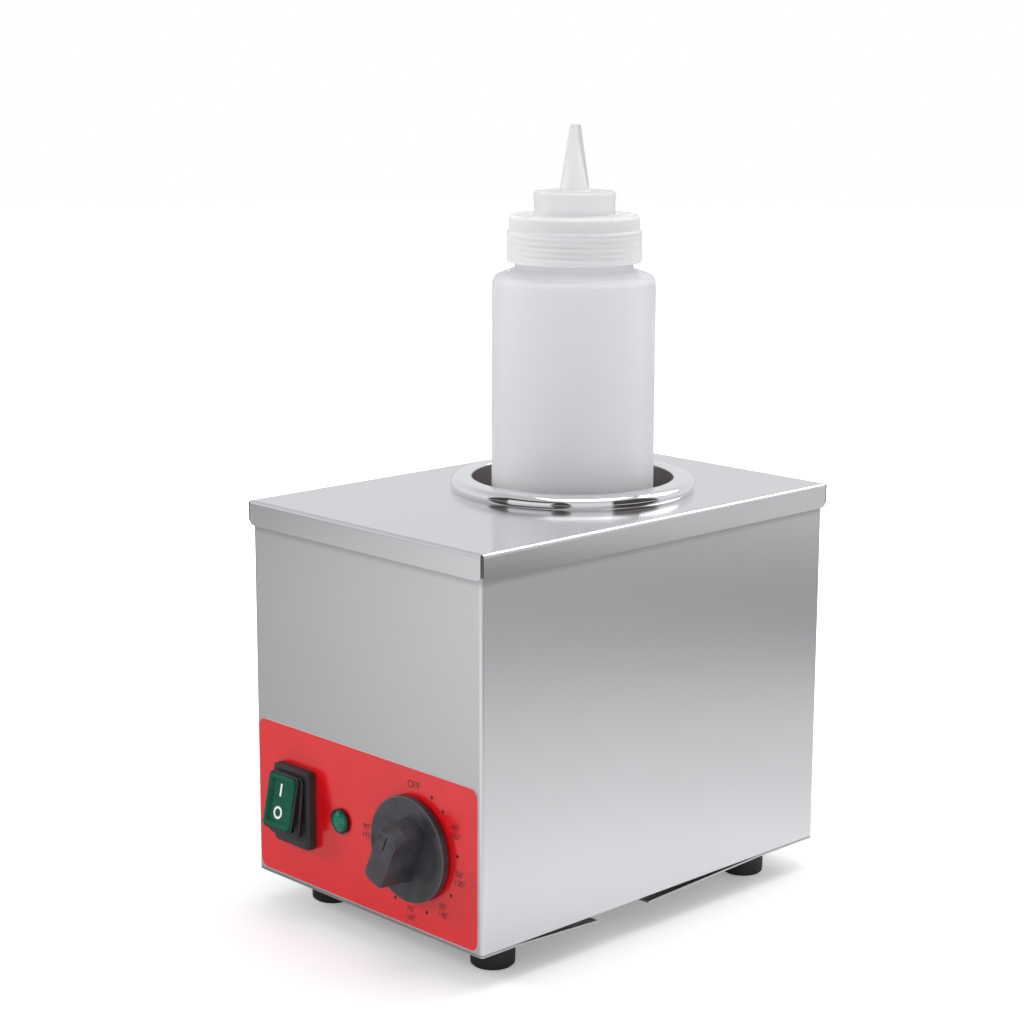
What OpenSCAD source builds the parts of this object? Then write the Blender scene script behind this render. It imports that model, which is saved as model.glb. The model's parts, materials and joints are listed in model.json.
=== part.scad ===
// Hot topping warmer for one bottle: a sheet-steel casing with a heated well.
// A squeeze bottle stands in the well.
// Millimetres, +Z up. X is side to side and -Y is the control panel's side.
// The origin is on the surface that the feet stand on, under the middle of the whole object's box.

/* [Casing] */
// Width of the top cover, side to side
lid_w = 140; // [136:1:170]
// Depth of the top cover, front to back
lid_d = 202; // [196:1:240]
// Height from the casing's bottom edge to the top of the cover
casing_h = 158; // [152:1:190]
// Thickness of the stainless sheet
sheet_t = 1; // [0.8:0.1:1.2]
// Height of the cover's folded flange
flange_h = 10.4; // [9:0.2:14]
// Clearance between the cover's flange and the casing
cover_play = 0.3; // [0.2:0.05:0.6]
// Outer radius of the sheet's bends
bend_r = 1.6; // [1.4:0.1:2.4]
// Radius of the flange's lower corners
flange_corner_r = 3.7; // [2:0.1:5]
// Width of the slit between two flanges at a corner
corner_slit = 0.4; // [0.2:0.1:0.8]
// Width of the casing's inward folds
fold_w = 10; // [9:0.5:14]

/* [Base plate] */
// Thickness of the base plate
base_t = 0.8; // [0.6:0.1:1.2]
// Gap between the base plate and the casing
base_gap = 0.2; // [0.1:0.05:0.3]
// Width of the drooping lips along both sides
lip_w = 9.2; // [7:0.2:9.6]
// Depth of the side notch
notch_w = 14; // [10:0.5:18]
// Drop of a lip at the notch
lip_drop = 2.4; // [1:0.1:4]
// Start of the front lips, forward of the middle
lip_front = 82; // [70:1:86]
// Front edge of the side notch, forward of the middle
notch_front = 36; // [24:1:50]
// Back edge of the side notch, forward of the middle
notch_back = 6; // [0:1:12]
// End of the rear lips, behind the middle
lip_rear = 64; // [50:1:74]
// Width of the slit beside a lip
lip_slit = 0.6; // [0.4:0.1:1]
// Width of a vent slot
vent_w = 4; // [3:0.5:6]
// Length of a vent slot
vent_l = 34; // [20:1:40]
// Number of vent slots in the base plate
vent_count = 5; // [3:1:6]

/* [Feet] */
// Height of a rubber foot
foot_h = 14; // [10:0.5:20]
// Radius of a foot at its top
foot_r = 9.3; // [8:0.1:11]
// Narrowing of a foot's radius towards the floor
foot_taper = 0.4; // [0:0.1:1]
// Distance of a foot's centre from the casing's side
foot_in_x = 19.4; // [16:0.2:26]
// Distance of a foot's centre from the casing's front or back
foot_in_y = 24.1; // [20:0.2:30]
// Depth of the screw's recess in a foot
foot_recess = 7; // [6:0.5:8]

/* [Control panel] */
// Bare margin beside the overlay
label_margin = 2; // [1:0.2:6]
// Bare margin under the overlay
label_rise = 1.1; // [0.6:0.1:4]
// Height of the overlay
label_h = 65; // [62:1:90]
// Thickness of the overlay
label_t = 0.4; // [0.2:0.1:0.6]
// Corner radius of the overlay
label_r = 4; // [1:0.5:8]
// Height of the controls' centre line above the casing's bottom edge
panel_rise = 33.8; // [32:0.2:40]
// Distance of the knob's axis from the casing's right side
dial_in = 38.9; // [36:0.2:42]
// Distance of the switch's centre from the casing's left side
switch_in = 27.3; // [24:0.2:30]
// Place of the pilot light between the switch's boot and the knob, as a share of the gap
pilot_share = 0.4245; // [0.35:0.0005:0.6]

/* [Knob] */
// Radius of the knob's skirt
skirt_r = 21.4; // [19:0.2:24]
// Thickness of the knob's skirt
skirt_t = 3.3; // [3:0.1:5]
// Gap between the knob and the overlay
knob_gap = 0.5; // [0.3:0.1:1]
// Length of the grip in front of the skirt
grip_reach = 13.4; // [11:0.2:18]
// Radius of the grip's ends at the front
grip_r = 12.3; // [11:0.1:13]
// Width of the grip at the front
grip_w = 10.4; // [9.6:0.2:12]
// Draft that widens the grip towards the skirt, on each side
grip_draft = 0.9; // [0.2:0.1:1.4]
// Radius of the dished recess round the grip
dish_r = 14.6; // [14.4:0.1:16]
// Depth of the dished recess
dish_depth = 0.8; // [0.4:0.1:1]
// Width of the engraved pointer
pointer_w = 0.9; // [0.6:0.1:1.4]
// Depth of the engraved pointer
pointer_depth = 0.4; // [0.2:0.1:0.8]
// Length of the engraved pointer
pointer_l = 6; // [4:0.5:9]
// Angle of the pointer from OFF as it stands, clockwise
knob_angle = 25; // [0:1:270]

/* [Thermostat] */
// Radius of the control shaft
shaft_r = 3; // [2.8:0.1:3.2]
// Running clearance round the shaft
shaft_play = 0.05; // [0.02:0.01:0.1]
// Length of the shaft inside the knob
shaft_grip = 11; // [8:0.5:12]
// Radius of the boss that passes through the panel
boss_r = 5; // [4.8:0.1:5.6]
// Width and height of the thermostat's body
stat_w = 34; // [30:1:38]
// Depth of the thermostat's body
stat_l = 24; // [20:1:30]
// Width of the mounting plate
stat_plate_w = 42; // [40:0.5:46]
// Height of the mounting plate
stat_plate_h = 16; // [14:0.5:20]
// Thickness of the mounting plate
stat_plate_t = 1.5; // [1.2:0.1:2]
// Distance between the mounting screws
stat_screw_span = 28; // [26:0.5:32]
// Radius of the diaphragm cup at the back
cup_r = 9; // [7:0.5:11]
// Height of the diaphragm cup
cup_h = 4; // [3:0.5:6]
// Radius of the sensing bulb
bulb_r = 3.2; // [2.6:0.1:3.4]
// Length of the sensing bulb
bulb_l = 60; // [50:1:66]
// Height of the bulb's lower end above the well's floor
bulb_rise = 14; // [10:1:16]
// Radius of the capillary
capillary_r = 0.9; // [0.7:0.1:1.1]

/* [Rocker switch] */
// Width of the rubber boot's frame
boot_w = 22.8; // [22.4:0.2:26]
// Height of the rubber boot's frame
boot_h = 33.4; // [33:0.2:38]
// Height of the boot's frame in front of the casing
boot_t = 4.8; // [4.4:0.1:5]
// Corner radius of the boot
boot_r = 1.6; // [0.8:0.1:2]
// Width of the terrace step round the boot's front
boot_step = 0.8; // [0.4:0.1:1.2]
// Width of the green rocker's face
rocker_w = 17; // [15:0.2:17.4]
// Height of the green rocker's face
rocker_h = 22; // [20:0.2:22.4]
// Distance of the rocker's face from its pivot
rocker_reach = 17.2; // [17:0.1:18]
// Depth of the rocker's pivot behind the casing's front
pivot_depth = 6.2; // [5.8:0.1:6.4]
// Tilt of the rocker to each side of the middle
rocker_tilt = 11.8; // [8:0.2:12]
// Corner radius of the green rocker
rocker_r = 2.4; // [1:0.1:3]
// Width of the rocker's stem
stem_w = 13; // [11:0.2:13.4]
// Height of the rocker's stem
stem_h = 17; // [14:0.2:17.4]
// Radius of the rocker's pivot pins
pin_r = 1.5; // [1.2:0.1:1.8]
// Running clearance round the pivot pins
pin_play = 0.06; // [0.03:0.01:0.1]
// Width of the switch body behind the panel
housing_w = 19; // [18.4:0.2:20]
// Height of the switch body behind the panel
housing_h = 28; // [26:0.2:29]
// Depth of the switch body behind the panel
housing_l = 22; // [20:0.5:28]
// Wall of the switch body
housing_wall = 1.5; // [1.2:0.1:1.8]
// Width of a terminal blade
blade_w = 4.8; // [3:0.2:6]
// Thickness of a terminal blade
blade_t = 0.8; // [0.5:0.1:1]
// Length of a terminal blade
blade_l = 8; // [6:0.5:10]

/* [Pilot light] */
// Radius of the pilot lens
lens_r = 5.3; // [5:0.1:6]
// Height of the lens's rim
lens_rim_h = 1.4; // [0.8:0.1:2]
// Height of the lens's dome
lens_dome_h = 1.2; // [0.6:0.1:2]
// Radius of the lamp body
lamp_r = 4.6; // [4:0.1:4.8]
// Depth of the lamp body behind the panel
lamp_l = 20; // [14:1:26]
// Radius of the push nut
push_nut_r = 7.4; // [6.4:0.1:8]
// Thickness of the push nut
push_nut_t = 1.2; // [0.8:0.1:2]

/* [Well] */
// Inner radius of the well
well_r = 42.5; // [40:0.5:43]
// Depth of the well below the cover's top
well_depth = 97; // [92:1:100]
// Wall of the well
well_wall = 1; // [0.8:0.1:1.2]
// Distance of the well's axis behind the casing's middle
well_back = 17.2; // [14:0.2:19]
// Radius of the well's lower corner
well_corner_r = 6; // [4:0.5:8]
// Outer radius of the rim
rim_r = 51.9; // [51:0.1:54]
// Height of the rim above the cover
rim_h = 5; // [4:0.1:6]
// Radius of the rim's outer roll
roll_r = 3.2; // [2.8:0.1:3.4]
// Crown radius of the rim's top
crown_r = 24; // [20:1:30]
// Thickness of the rim's metal
rim_t = 0.9; // [0.7:0.1:1.1]
// Clearance between the well and what goes round it
well_play = 0.3; // [0.2:0.05:0.5]
// Height of the collar under the cover
collar_h = 8; // [7:0.5:10]
// Thickness of the collar's sleeve
collar_wall = 4.5; // [4:0.1:5]
// Width of the collar's flange
collar_flange = 8; // [6:0.5:9]
// Thickness of the collar's flange
collar_flange_t = 1.5; // [1.2:0.1:2]

/* [Heater] */
// Height of the band heater
heater_h = 46; // [36:1:50]
// Thickness of the band heater
heater_t = 2.8; // [2:0.1:3.2]
// Height of the heater's lower edge above the well's floor
heater_rise = 10; // [8:1:14]
// Width of the heater's split
heater_split = 18; // [17:0.5:20]
// Height of the strap
strap_h = 18; // [14:1:24]
// Thickness of the strap
strap_t = 0.6; // [0.5:0.1:1]
// Reach of the strap's lugs
lug_reach = 11; // [11:0.5:13]
// Thickness of the insulation sleeve
wool_t = 8; // [6:0.5:8.4]
// Height of the insulation sleeve
wool_h = 56; // [48:1:60]
// Width of the insulation's split
wool_split = 36; // [34:1:40]
// Radius of the thermal cut-out
cutout_r = 8; // [6:0.5:9]
// Height of the thermal cut-out
cutout_h = 9; // [7:0.5:11]

/* [Bottle] */
// Radius of the bottle's body
bottle_r = 34.2; // [32:0.2:35]
// Height of the bottle's shoulder above the cover
shoulder_rise = 90.2; // [80:0.2:110]
// Wall of the bottle
bottle_wall = 1.2; // [0.8:0.1:1.6]
// Radius of the shoulder's round
shoulder_r = 4; // [2:0.2:6]
// Rise of the shoulder from its round to the neck
shoulder_slope = 2.1; // [1:0.1:4]
// Radius of the bottle's lower corner
heel_r = 5; // [3:0.5:8]
// Outer radius of the neck
neck_r = 24.7; // [23:0.1:25]
// Radial depth of the neck's thread
thread_depth = 0.7; // [0.5:0.1:0.9]
// Height between two turns of the thread
thread_pitch = 4.5; // [4:0.1:5]

/* [Cap] */
// Gap between the shoulder and the cap
cap_gap = 2.7; // [2:0.1:4]
// Clearance between the cap and the neck's thread
cap_play = 0.4; // [0.3:0.05:0.8]
// Height of the skirt's wide part
skirt_low_h = 13.7; // [11:0.1:14]
// Step from the wide part to the upper part
cap_step = 1; // [0.4:0.1:1.2]
// Height of the cap's upper part
skirt_up_h = 5.8; // [4.6:0.1:7]
// Radius of the cap's hub
hub_r = 17; // [15:0.2:19]
// Height of the cap's hub
hub_h = 9.5; // [7:0.1:12]
// Radius of the spout's base
spout_r = 6.3; // [5.6:0.1:7]
// Radius of the spout's tip
tip_r = 2.4; // [2:0.1:2.8]
// Length of the spout
spout_l = 27.4; // [20:0.2:34]
// Wall of the cap
cap_wall = 1.4; // [1.2:0.1:1.5]
// Radius of the spout's orifice
orifice_r = 0.9; // [0.5:0.1:1.2]

/* [Rear] */
// Clearance at the rear panel's edges
panel_play = 0.3; // [0.2:0.05:0.5]
// Radius of the inlet bushing's bore
inlet_r = 4.2; // [3.5:0.1:4.6]
// Radius of the bushing's barrel
barrel_r = 7.8; // [7:0.1:8.4]
// Radius of the bushing's head
bush_head_r = 10.5; // [9.5:0.1:12]
// Thickness of the bushing's head
bush_head_t = 4; // [3:0.5:6]
// Length of the barrel inside the panel
barrel_l = 12; // [10:0.5:16]
// Thickness of the bushing's locknut
bush_nut_t = 4; // [3:0.5:5]
// Height of the cord inlet above the casing's bottom edge
inlet_rise = 30; // [24:1:40]
// Distance of the cord inlet from the casing's right side
inlet_in = 34; // [28:1:40]
// Length of the terminal block
block_l = 44; // [40:1:50]
// Width of the terminal block
block_w = 20; // [18:1:24]
// Height of the terminal block
block_h = 16; // [14:1:20]
// Distance of the terminal block's centre from the casing's back
block_in = 44; // [40:1:50]
// Distance of the earth stud from the casing's left side
stud_in = 24; // [22:1:28]
// Height of the earth stud above the base plate
stud_h = 16; // [14:1:20]

/* [Fasteners] */
// Shank radius of the larger screws
screw_r = 2; // [1.8:0.1:2.2]
// Head radius of the larger screws
head_r = 3.6; // [3.4:0.1:4]
// Head height of the larger screws
head_t = 2.4; // [1.8:0.1:2.8]
// Height of the larger nuts
nut_t = 3.2; // [2.4:0.1:3.6]
// Corner radius of the larger nuts
nut_r = 4; // [3.8:0.1:4.4]
// Shank radius of the small screws
small_r = 1.5; // [1.3:0.1:1.6]
// Head radius of the small screws
small_head_r = 2.8; // [2.5:0.1:3]
// Head height of the small screws
small_head_t = 1.8; // [1.4:0.1:2.2]
// Head height of the thermostat's screws
low_head_t = 1.2; // [1:0.1:1.4]
// Clearance round a screw's shank
hole_play = 0.15; // [0.1:0.05:0.3]
// Radius of an insulated wire
wire_r = 1.1; // [0.9:0.1:1.2]

/* [Hidden] */
$fn = 64;

// Overrun of a cut past the face that it opens
over = 1;
// Sliver that keeps two drawn faces of one solid joined
bond = 0.2;
// Clearance between two seated pieces that only touch
seat = 0.1;
// Depth that two drawn solids of one piece share where their faces would only touch
skin = 0.002;
// Running gap between pieces that move past each other
rub_gap = 0.3;

// Casing, measured inside the cover
shell_w = lid_w - 2 * (sheet_t + cover_play);
shell_d = lid_d - 2 * (sheet_t + cover_play);
base_z = foot_h;
base_top = base_z + base_t;
shell_z = base_top + base_gap;
cover_top = shell_z + casing_h;
cover_under = cover_top - sheet_t;
shell_h = cover_under - (bend_r - sheet_t) - shell_z;
flange_z = cover_top - flange_h;

// Reach of the whole object forward and back of the casing's middle
knob_back = label_t + knob_gap;
knob_reach = knob_back + skirt_t + grip_reach;
front_reach = shell_d / 2 + knob_reach;
rear_reach = max(lid_d / 2 + small_head_t, shell_d / 2 - sheet_t + bush_head_t);
centre_y = (front_reach - rear_reach) / 2;
front_y = centre_y - shell_d / 2;
rear_y = centre_y + shell_d / 2;
rear_inner_y = rear_y - 2 * sheet_t;
panel_z = shell_z + panel_rise;
dial_x = shell_w / 2 - dial_in;
switch_x = switch_in - shell_w / 2;
boot_side_x = switch_x + boot_w / 2;
pilot_x = boot_side_x + pilot_share * (dial_x - skirt_r - boot_side_x);

// Folds and screws of the sheet pieces
rear_fold = 12;
rear_fold_x = shell_w / 2 - rear_fold / 2;
rear_panel_w = shell_w - 2 * (sheet_t + panel_play);
rear_panel_h = shell_h - panel_play;
rear_screw_low = 20;
rear_screw_high = 88;
rear_screw_zs = [shell_z + rear_screw_low, shell_z + rear_screw_high];
cover_screw_z = flange_z + flange_h / 2;
rear_screw_l = 7;
base_screw_x = 24;
base_screw_l = 5;
fold_relief = 2;
rear_vent_rows = 5;
rear_vent_step = 8;
rear_vent_w = 40;
rear_vent_h = 3;
rear_vent_drop = 62;
rear_vent_z = cover_top - rear_vent_drop;
vent_step = 9;
vent_from = 36;

// Feet
foot_x = shell_w / 2 - foot_in_x;
foot_y = shell_d / 2 - foot_in_y;
foot_chamfer = 0.8;
screw_proud = 1.5;
foot_screw_l = foot_h - foot_recess + base_t + nut_t + screw_proud;

// Well, rim and what goes round the well
well_y = centre_y + well_back;
well_floor = cover_top - well_depth;
well_out_r = well_r + well_wall;
well_bottom = well_floor - well_wall;
crown_in = 3.4;
crown_x = well_r + crown_in;
roll_x = rim_r - roll_r;
roll_z = rim_h - crown_r + sqrt(pow(crown_r - roll_r, 2) - pow(roll_x - crown_x, 2));
heater_z = well_floor + heater_rise;
heater_in_r = well_out_r + seat;
heater_out_r = heater_in_r + heater_t;
strap_in_r = heater_out_r + seat;
strap_out_r = strap_in_r + strap_t;
strap_z = heater_z + (heater_h - strap_h) / 2;
lug_t = 1.5;
lug_y = well_y - strap_out_r - lug_reach;
lug_screw_in = 4;
strap_screw_y = lug_y + lug_screw_in;
strap_screw_z = strap_z + strap_h / 2;
wool_in_r = strap_out_r + well_play;
wool_z = heater_z - (wool_h - heater_h) / 2;
collar_in_r = well_out_r + seat;
collar_sleeve_r = collar_in_r + collar_wall;
collar_out_r = collar_sleeve_r + collar_flange;
collar_z = cover_under - collar_h;
collar_screw_l = collar_wall + screw_proud;
bulb_z = well_floor + bulb_rise;
bulb_y = well_y - well_out_r - bulb_r - 2 * seat;
clip_down = 10;
clip_z = bulb_z + bulb_l - clip_down;
clip_h = 8;
clip_t = 0.8;
clip_ear = 5;
bracket_t = 1.2;
bracket_w = 12;
bracket_foot = 7;

// Thermostat and knob, with Z outward from the casing's front
stat_back = -sheet_t - stat_plate_t - stat_l;
shaft_depth = 8;
shaft_root = -sheet_t - stat_plate_t - shaft_depth;
stat_screw_room = 4;
stat_screw_l = sheet_t + stat_plate_t + stat_screw_room - screw_proud / 2;
shaft_flat = shaft_r / 2;
shaft_end = knob_back + shaft_grip;
shaft_end_play = 0.5;
bore_depth = shaft_grip + shaft_end_play;
clip_room = 0.7;
bore_flat = shaft_flat + clip_room;
hollow_depth = 1.4;
skirt_wall = 1.6;
hollow_r = skirt_r - skirt_wall;
sleeve_wall = 2.6;
hub_sleeve_r = shaft_r + sleeve_wall;
skirt_edge = 0.6;
grip_foot_r = grip_r + grip_draft;
pointer_in = 0.9;
pointer_out = grip_r - pointer_in;

// Switch, with Z outward from the casing's front
bezel_t = 1.2;
bezel_lap_w = 0.7;
bezel_lap_h = 1.5;
bezel_w = housing_w + 2 * bezel_lap_w;
bezel_h = housing_h + 2 * bezel_lap_h;
catch_t = 1.2;
boot_terrace_t = 0.6;
cavity_room = 10;
cavity_depth = pivot_depth + cavity_room;
stem_root = 3;
pin_end_wall = 0.4;
pin_out = housing_w / 2 - pin_end_wall;

// The window in the boot, which the stem tips in without touching
window_w = stem_w + 4 * rub_gap;
window_h = stem_h / cos(rocker_tilt) + 2 * (boot_t + pivot_depth) * tan(rocker_tilt) + 2 * rub_gap;

// The fold tips half as far as the rocker and clears the boot behind it
fold_tilt = rocker_tilt / 2;
fold_t = 1.25;
fold_lap_w = 1.5;
fold_lap_h = 2;
fold_out_w = rocker_w + 2 * fold_lap_w;
fold_out_h = rocker_h + 2 * fold_lap_h;
fold_from = (boot_t + pivot_depth + rub_gap + fold_out_h / 2 * sin(fold_tilt)) / cos(fold_tilt);
fold_hole_w = stem_w + 2 * rub_gap;
fold_hole_h = stem_h / cos(fold_tilt) + 2 * (fold_from + fold_t) * tan(fold_tilt) + 2 * rub_gap;

// The lip and the green plate start in front of the fold and clear it at both ends
lip_lap_w = 0.7;
lip_lap_h = 0.9;
lip_sunk = 0.5;
lip_out_w = rocker_w + 2 * lip_lap_w;
lip_out_h = rocker_h + 2 * lip_lap_h;
lip_from = (fold_from + fold_t + rub_gap + lip_out_h / 2 * sin(fold_tilt)) / cos(fold_tilt);
lip_t = rocker_reach - lip_sunk - lip_from;
rocker_t = rocker_reach - lip_from;

// Bottle and cap, measured from the surface that the feet stand on
stand_gap = 0.2;
bottle_z = well_floor + stand_gap;
shoulder_z = cover_top + shoulder_rise;
neck_z = shoulder_z + shoulder_slope;
cap_z = neck_z + cap_gap;
cap_step_z = cap_z + skirt_low_h;
cap_top = cap_step_z + skirt_up_h;
cap_roof_z = cap_top - cap_wall;
neck_top = cap_roof_z - seat;
hub_top = cap_top + hub_h;
spout_top = hub_top + spout_l;
cap_edge_r = 1.2;
cap_in_r = neck_r + thread_depth + cap_play;
cap_up_r = cap_in_r + cap_wall;
cap_r = cap_up_r + cap_step;
thread_tilt = 1.4;
thread_turns = 2;

// Wiring
inlet_x = shell_w / 2 - inlet_in;
inlet_z = shell_z + inlet_rise;
block_y = rear_y - block_in;
block_foot_z = base_top;
pole_step = 14;
pole_y = 5;
pole_r = 1.8;
pole_sunk = 1.5;
wire_z = block_foot_z + block_h / 2 - 2 * wire_r;
stud_x = stud_in - shell_w / 2;
stud_y = rear_y - block_in;
bush_nut_wall = 3.6;
bush_nut_r = barrel_r + bush_nut_wall;
wire_steps = 4;
wire_sides = 8;
blade_row = 10;
wire_bend = 9;
loop_share = 0.58;
switch_back_y = front_y + housing_l + blade_l;
stat_blade_y = front_y - stat_back + blade_l;
stat_blade_x = stat_w / 2 - blade_w;
stat_blade_rise = stat_w / 4;
lamp_back_y = front_y + lamp_l + blade_l / 2;
cutout_foot_z = well_bottom - cutout_h - blade_l;

// Plan outline with true round corners
module round_plan(w, d, r) {
    square([w - 2 * r, d], center = true);
    square([w, d - 2 * r], center = true);
    for (sx = [-1, 1], sy = [-1, 1])
        translate([sx * (w / 2 - r), sy * (d / 2 - r)]) circle(r = r);
}

// Section of a folded sheet tray, with both upper bends round
module tray_outline(w, h, r) {
    translate([-w / 2, 0]) square([w, h - r]);
    translate([-w / 2 + r, 0]) square([w - 2 * r, h]);
    for (s = [-1, 1]) translate([s * (w / 2 - r), h - r]) circle(r = r);
}

// Solid whose front and side sections are both the tray's outline
module tray_block(w, d, h, r) {
    intersection() {
        translate([0, d / 2, 0]) rotate([90, 0, 0]) linear_extrude(d) tray_outline(w, h, r);
        translate([-w / 2, 0, 0]) rotate([90, 0, 90]) linear_extrude(w) tray_outline(d, h, r);
    }
}

// Places a control piece: X to the right, Y up and Z outward from the casing's front
module on_front(x) {
    translate([x, front_y, panel_z]) rotate([90, 0, 0]) children();
}

// Places a piece round the well's axis
module on_well(z) {
    translate([0, well_y, z]) children();
}

// Flat-sided block with round corners, from z0 to z0 + t
module pad(w, h, r, z0, t) {
    translate([0, 0, z0]) linear_extrude(t) round_plan(w, h, r);
}

module ring(r_out, r_in, h) {
    difference() {
        cylinder(r = r_out, h = h);
        translate([0, 0, -over]) cylinder(r = r_in, h = h + 2 * over);
    }
}

// Screw with its head's underside at z = 0 and its shank down -Z
module pan_screw(r, l, head_radius, head_height) {
    cylinder(r = head_radius, h = head_height);
    translate([0, 0, -l]) cylinder(r = r, h = l + bond);
}

// Point on a smooth curve through four neighbours
function curve_at(a, b, c, d, t) =
    0.5 * (2 * b + (c - a) * t + (2 * a - 5 * b + 4 * c - d) * t * t + (3 * b - a - 3 * c + d) * t * t * t);
function smooth_path(p) = concat(
    [for (i = [0 : len(p) - 2], k = [0 : wire_steps - 1])
        curve_at(p[max(i - 1, 0)], p[i], p[i + 1], p[min(i + 2, len(p) - 1)], k / wire_steps)],
    [p[len(p) - 1]]
);
function unit(v) = v / norm(v);
function heading(path, route, i) =
    i == 0 ? unit(route[1] - route[0])
    : i == len(path) - 1 ? unit(route[len(route) - 1] - route[len(route) - 2])
    : unit(path[i + 1] - path[i - 1]);
function side_of(n, t) = unit(n - (n * t) * t);
function any_side(t) = side_of(abs(t.z) < 0.9 ? [0, 0, 1] : [0, 1, 0], t);

// Round tube along a smooth curve
module tube(route, r) {
    path = smooth_path(route);
    last = len(path) - 1;
    sides = [for (i = 0, n = any_side(heading(path, route, 0)); i <= last;
                  i = i + 1, n = i <= last ? side_of(n, heading(path, route, i)) : n) n];
    rings = [for (i = [0 : last], k = [0 : wire_sides - 1])
        let (across = cross(heading(path, route, i), sides[i]), a = 360 * k / wire_sides)
        path[i] + r * (cos(a) * sides[i] + sin(a) * across)];
    walls = [for (i = [0 : last - 1], k = [0 : wire_sides - 1])
        let (k2 = (k + 1) % wire_sides, a = i * wire_sides)
        each [[a + k, a + wire_sides + k, a + k2], [a + k2, a + wire_sides + k, a + wire_sides + k2]]];
    near_end = [for (k = [1 : wire_sides - 2]) [0, k, k + 1]];
    far = last * wire_sides;
    far_end = [for (k = [1 : wire_sides - 2]) [far, far + k + 1, far + k]];
    polyhedron(points = rings, faces = concat(walls, near_end, far_end));
}

module casing_wrap() {
    color("gainsboro") difference() {
        union() {
            translate([0, centre_y, shell_z]) linear_extrude(shell_h) difference() {
                round_plan(shell_w, shell_d, bend_r);
                round_plan(shell_w - 2 * sheet_t, shell_d - 2 * sheet_t, bend_r - sheet_t);
                translate([rear_fold - shell_w / 2, shell_d / 2 - 2 * sheet_t])
                    square([shell_w - 2 * rear_fold, 2 * sheet_t + over]);
            }
            translate([fold_w + fold_relief - shell_w / 2, front_y + sheet_t - bond, shell_z])
                cube([shell_w - 2 * (fold_w + fold_relief), fold_w + bond, sheet_t]);
            for (s = [0, 1]) mirror([s, 0, 0])
                translate([shell_w / 2 - sheet_t - fold_w, front_y + sheet_t + fold_relief, shell_z])
                    cube([fold_w + bond, shell_d - 5 * sheet_t - fold_w - 2 * fold_relief, sheet_t]);
        }
        for (s = [-1, 1]) translate([s * base_screw_x, front_y + sheet_t + fold_w / 2, shell_z - over])
            cylinder(r = small_r + hole_play, h = sheet_t + 2 * over);
        for (s = [-1, 1], z = concat(rear_screw_zs, [cover_screw_z]))
            translate([s * rear_fold_x, rear_y + over, z]) rotate([90, 0, 0])
                cylinder(r = small_r + hole_play, h = sheet_t + 2 * over);
        panel_cuts(sheet_t);
    }
}

// Openings for the controls, through a sheet t thick behind the casing's front and through the overlay
module panel_cuts(t) {
    on_front(switch_x) translate([0, 0, -t - over]) linear_extrude(t + label_t + 2 * over)
        square([housing_w + 2 * seat, housing_h + 2 * seat], center = true);
    on_front(pilot_x) translate([0, 0, -t - over]) cylinder(r = lamp_r + seat, h = t + label_t + 2 * over);
    on_front(dial_x) {
        translate([0, 0, -t - over]) cylinder(r = boss_r + seat, h = t + label_t + 2 * over);
        for (s = [-1, 1]) translate([s * stat_screw_span / 2, 0, -t - over])
            cylinder(r = screw_r + hole_play, h = t + label_t + 2 * over);
    }
}

module rear_panel() {
    color("lightgray") difference() {
        union() {
            translate([-rear_panel_w / 2, rear_inner_y, shell_z]) cube([rear_panel_w, sheet_t, rear_panel_h]);
            translate([-rear_panel_w / 2 + fold_w, rear_inner_y - fold_w, shell_z])
                cube([rear_panel_w - 2 * fold_w, fold_w + bond, sheet_t]);
        }
        translate([inlet_x, rear_y, inlet_z]) rotate([90, 0, 0])
            cylinder(r = barrel_r + seat, h = 2 * sheet_t + over);
        for (i = [0 : rear_vent_rows - 1])
            translate([-rear_vent_w / 2, rear_inner_y - over, rear_vent_z + i * rear_vent_step])
                cube([rear_vent_w, sheet_t + 2 * over, rear_vent_h]);
        for (s = [-1, 1], z = concat(rear_screw_zs, [cover_screw_z]))
            translate([s * rear_fold_x, rear_inner_y + sheet_t + over, z]) rotate([90, 0, 0])
                cylinder(r = small_r + hole_play, h = sheet_t + 2 * over);
        for (s = [-1, 1]) translate([s * base_screw_x, rear_inner_y - fold_w / 2, shell_z - over])
            cylinder(r = small_r + hole_play, h = sheet_t + 2 * over);
    }
}

module top_cover() {
    color("lightgray") difference() {
        translate([0, centre_y, flange_z]) difference() {
            tray_block(lid_w, lid_d, flange_h, bend_r);
            translate([0, 0, -over]) tray_block(
                lid_w - 2 * sheet_t, lid_d - 2 * sheet_t, flange_h - sheet_t + over, bend_r - sheet_t);
        }
        on_well(cover_under - over) cylinder(r = well_out_r + seat, h = sheet_t + 2 * over);
        translate([0, centre_y, flange_z]) for (sx = [0, 1], sy = [0, 1])
            mirror([sx, 0, 0]) mirror([0, sy, 0])
                translate([-lid_w / 2, -lid_d / 2, 0]) cover_corner_cut();
        for (s = [-1, 1]) translate([s * rear_fold_x, centre_y + lid_d / 2 + over, cover_screw_z])
            rotate([90, 0, 0]) cylinder(r = small_r + hole_play, h = sheet_t + 2 * over);
    }
}

// Slits a corner of the cover and rounds the lower ends of its two flanges.
// X and Y run inward from the corner.
module cover_corner_cut() {
    rotate([0, 0, 45]) translate([-2 * sheet_t, -corner_slit / 2, -over])
        cube([5 * sheet_t, corner_slit, flange_h - bend_r - seat + over]);
    flange_end_cut();
    mirror([1, -1, 0]) flange_end_cut();
}

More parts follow.
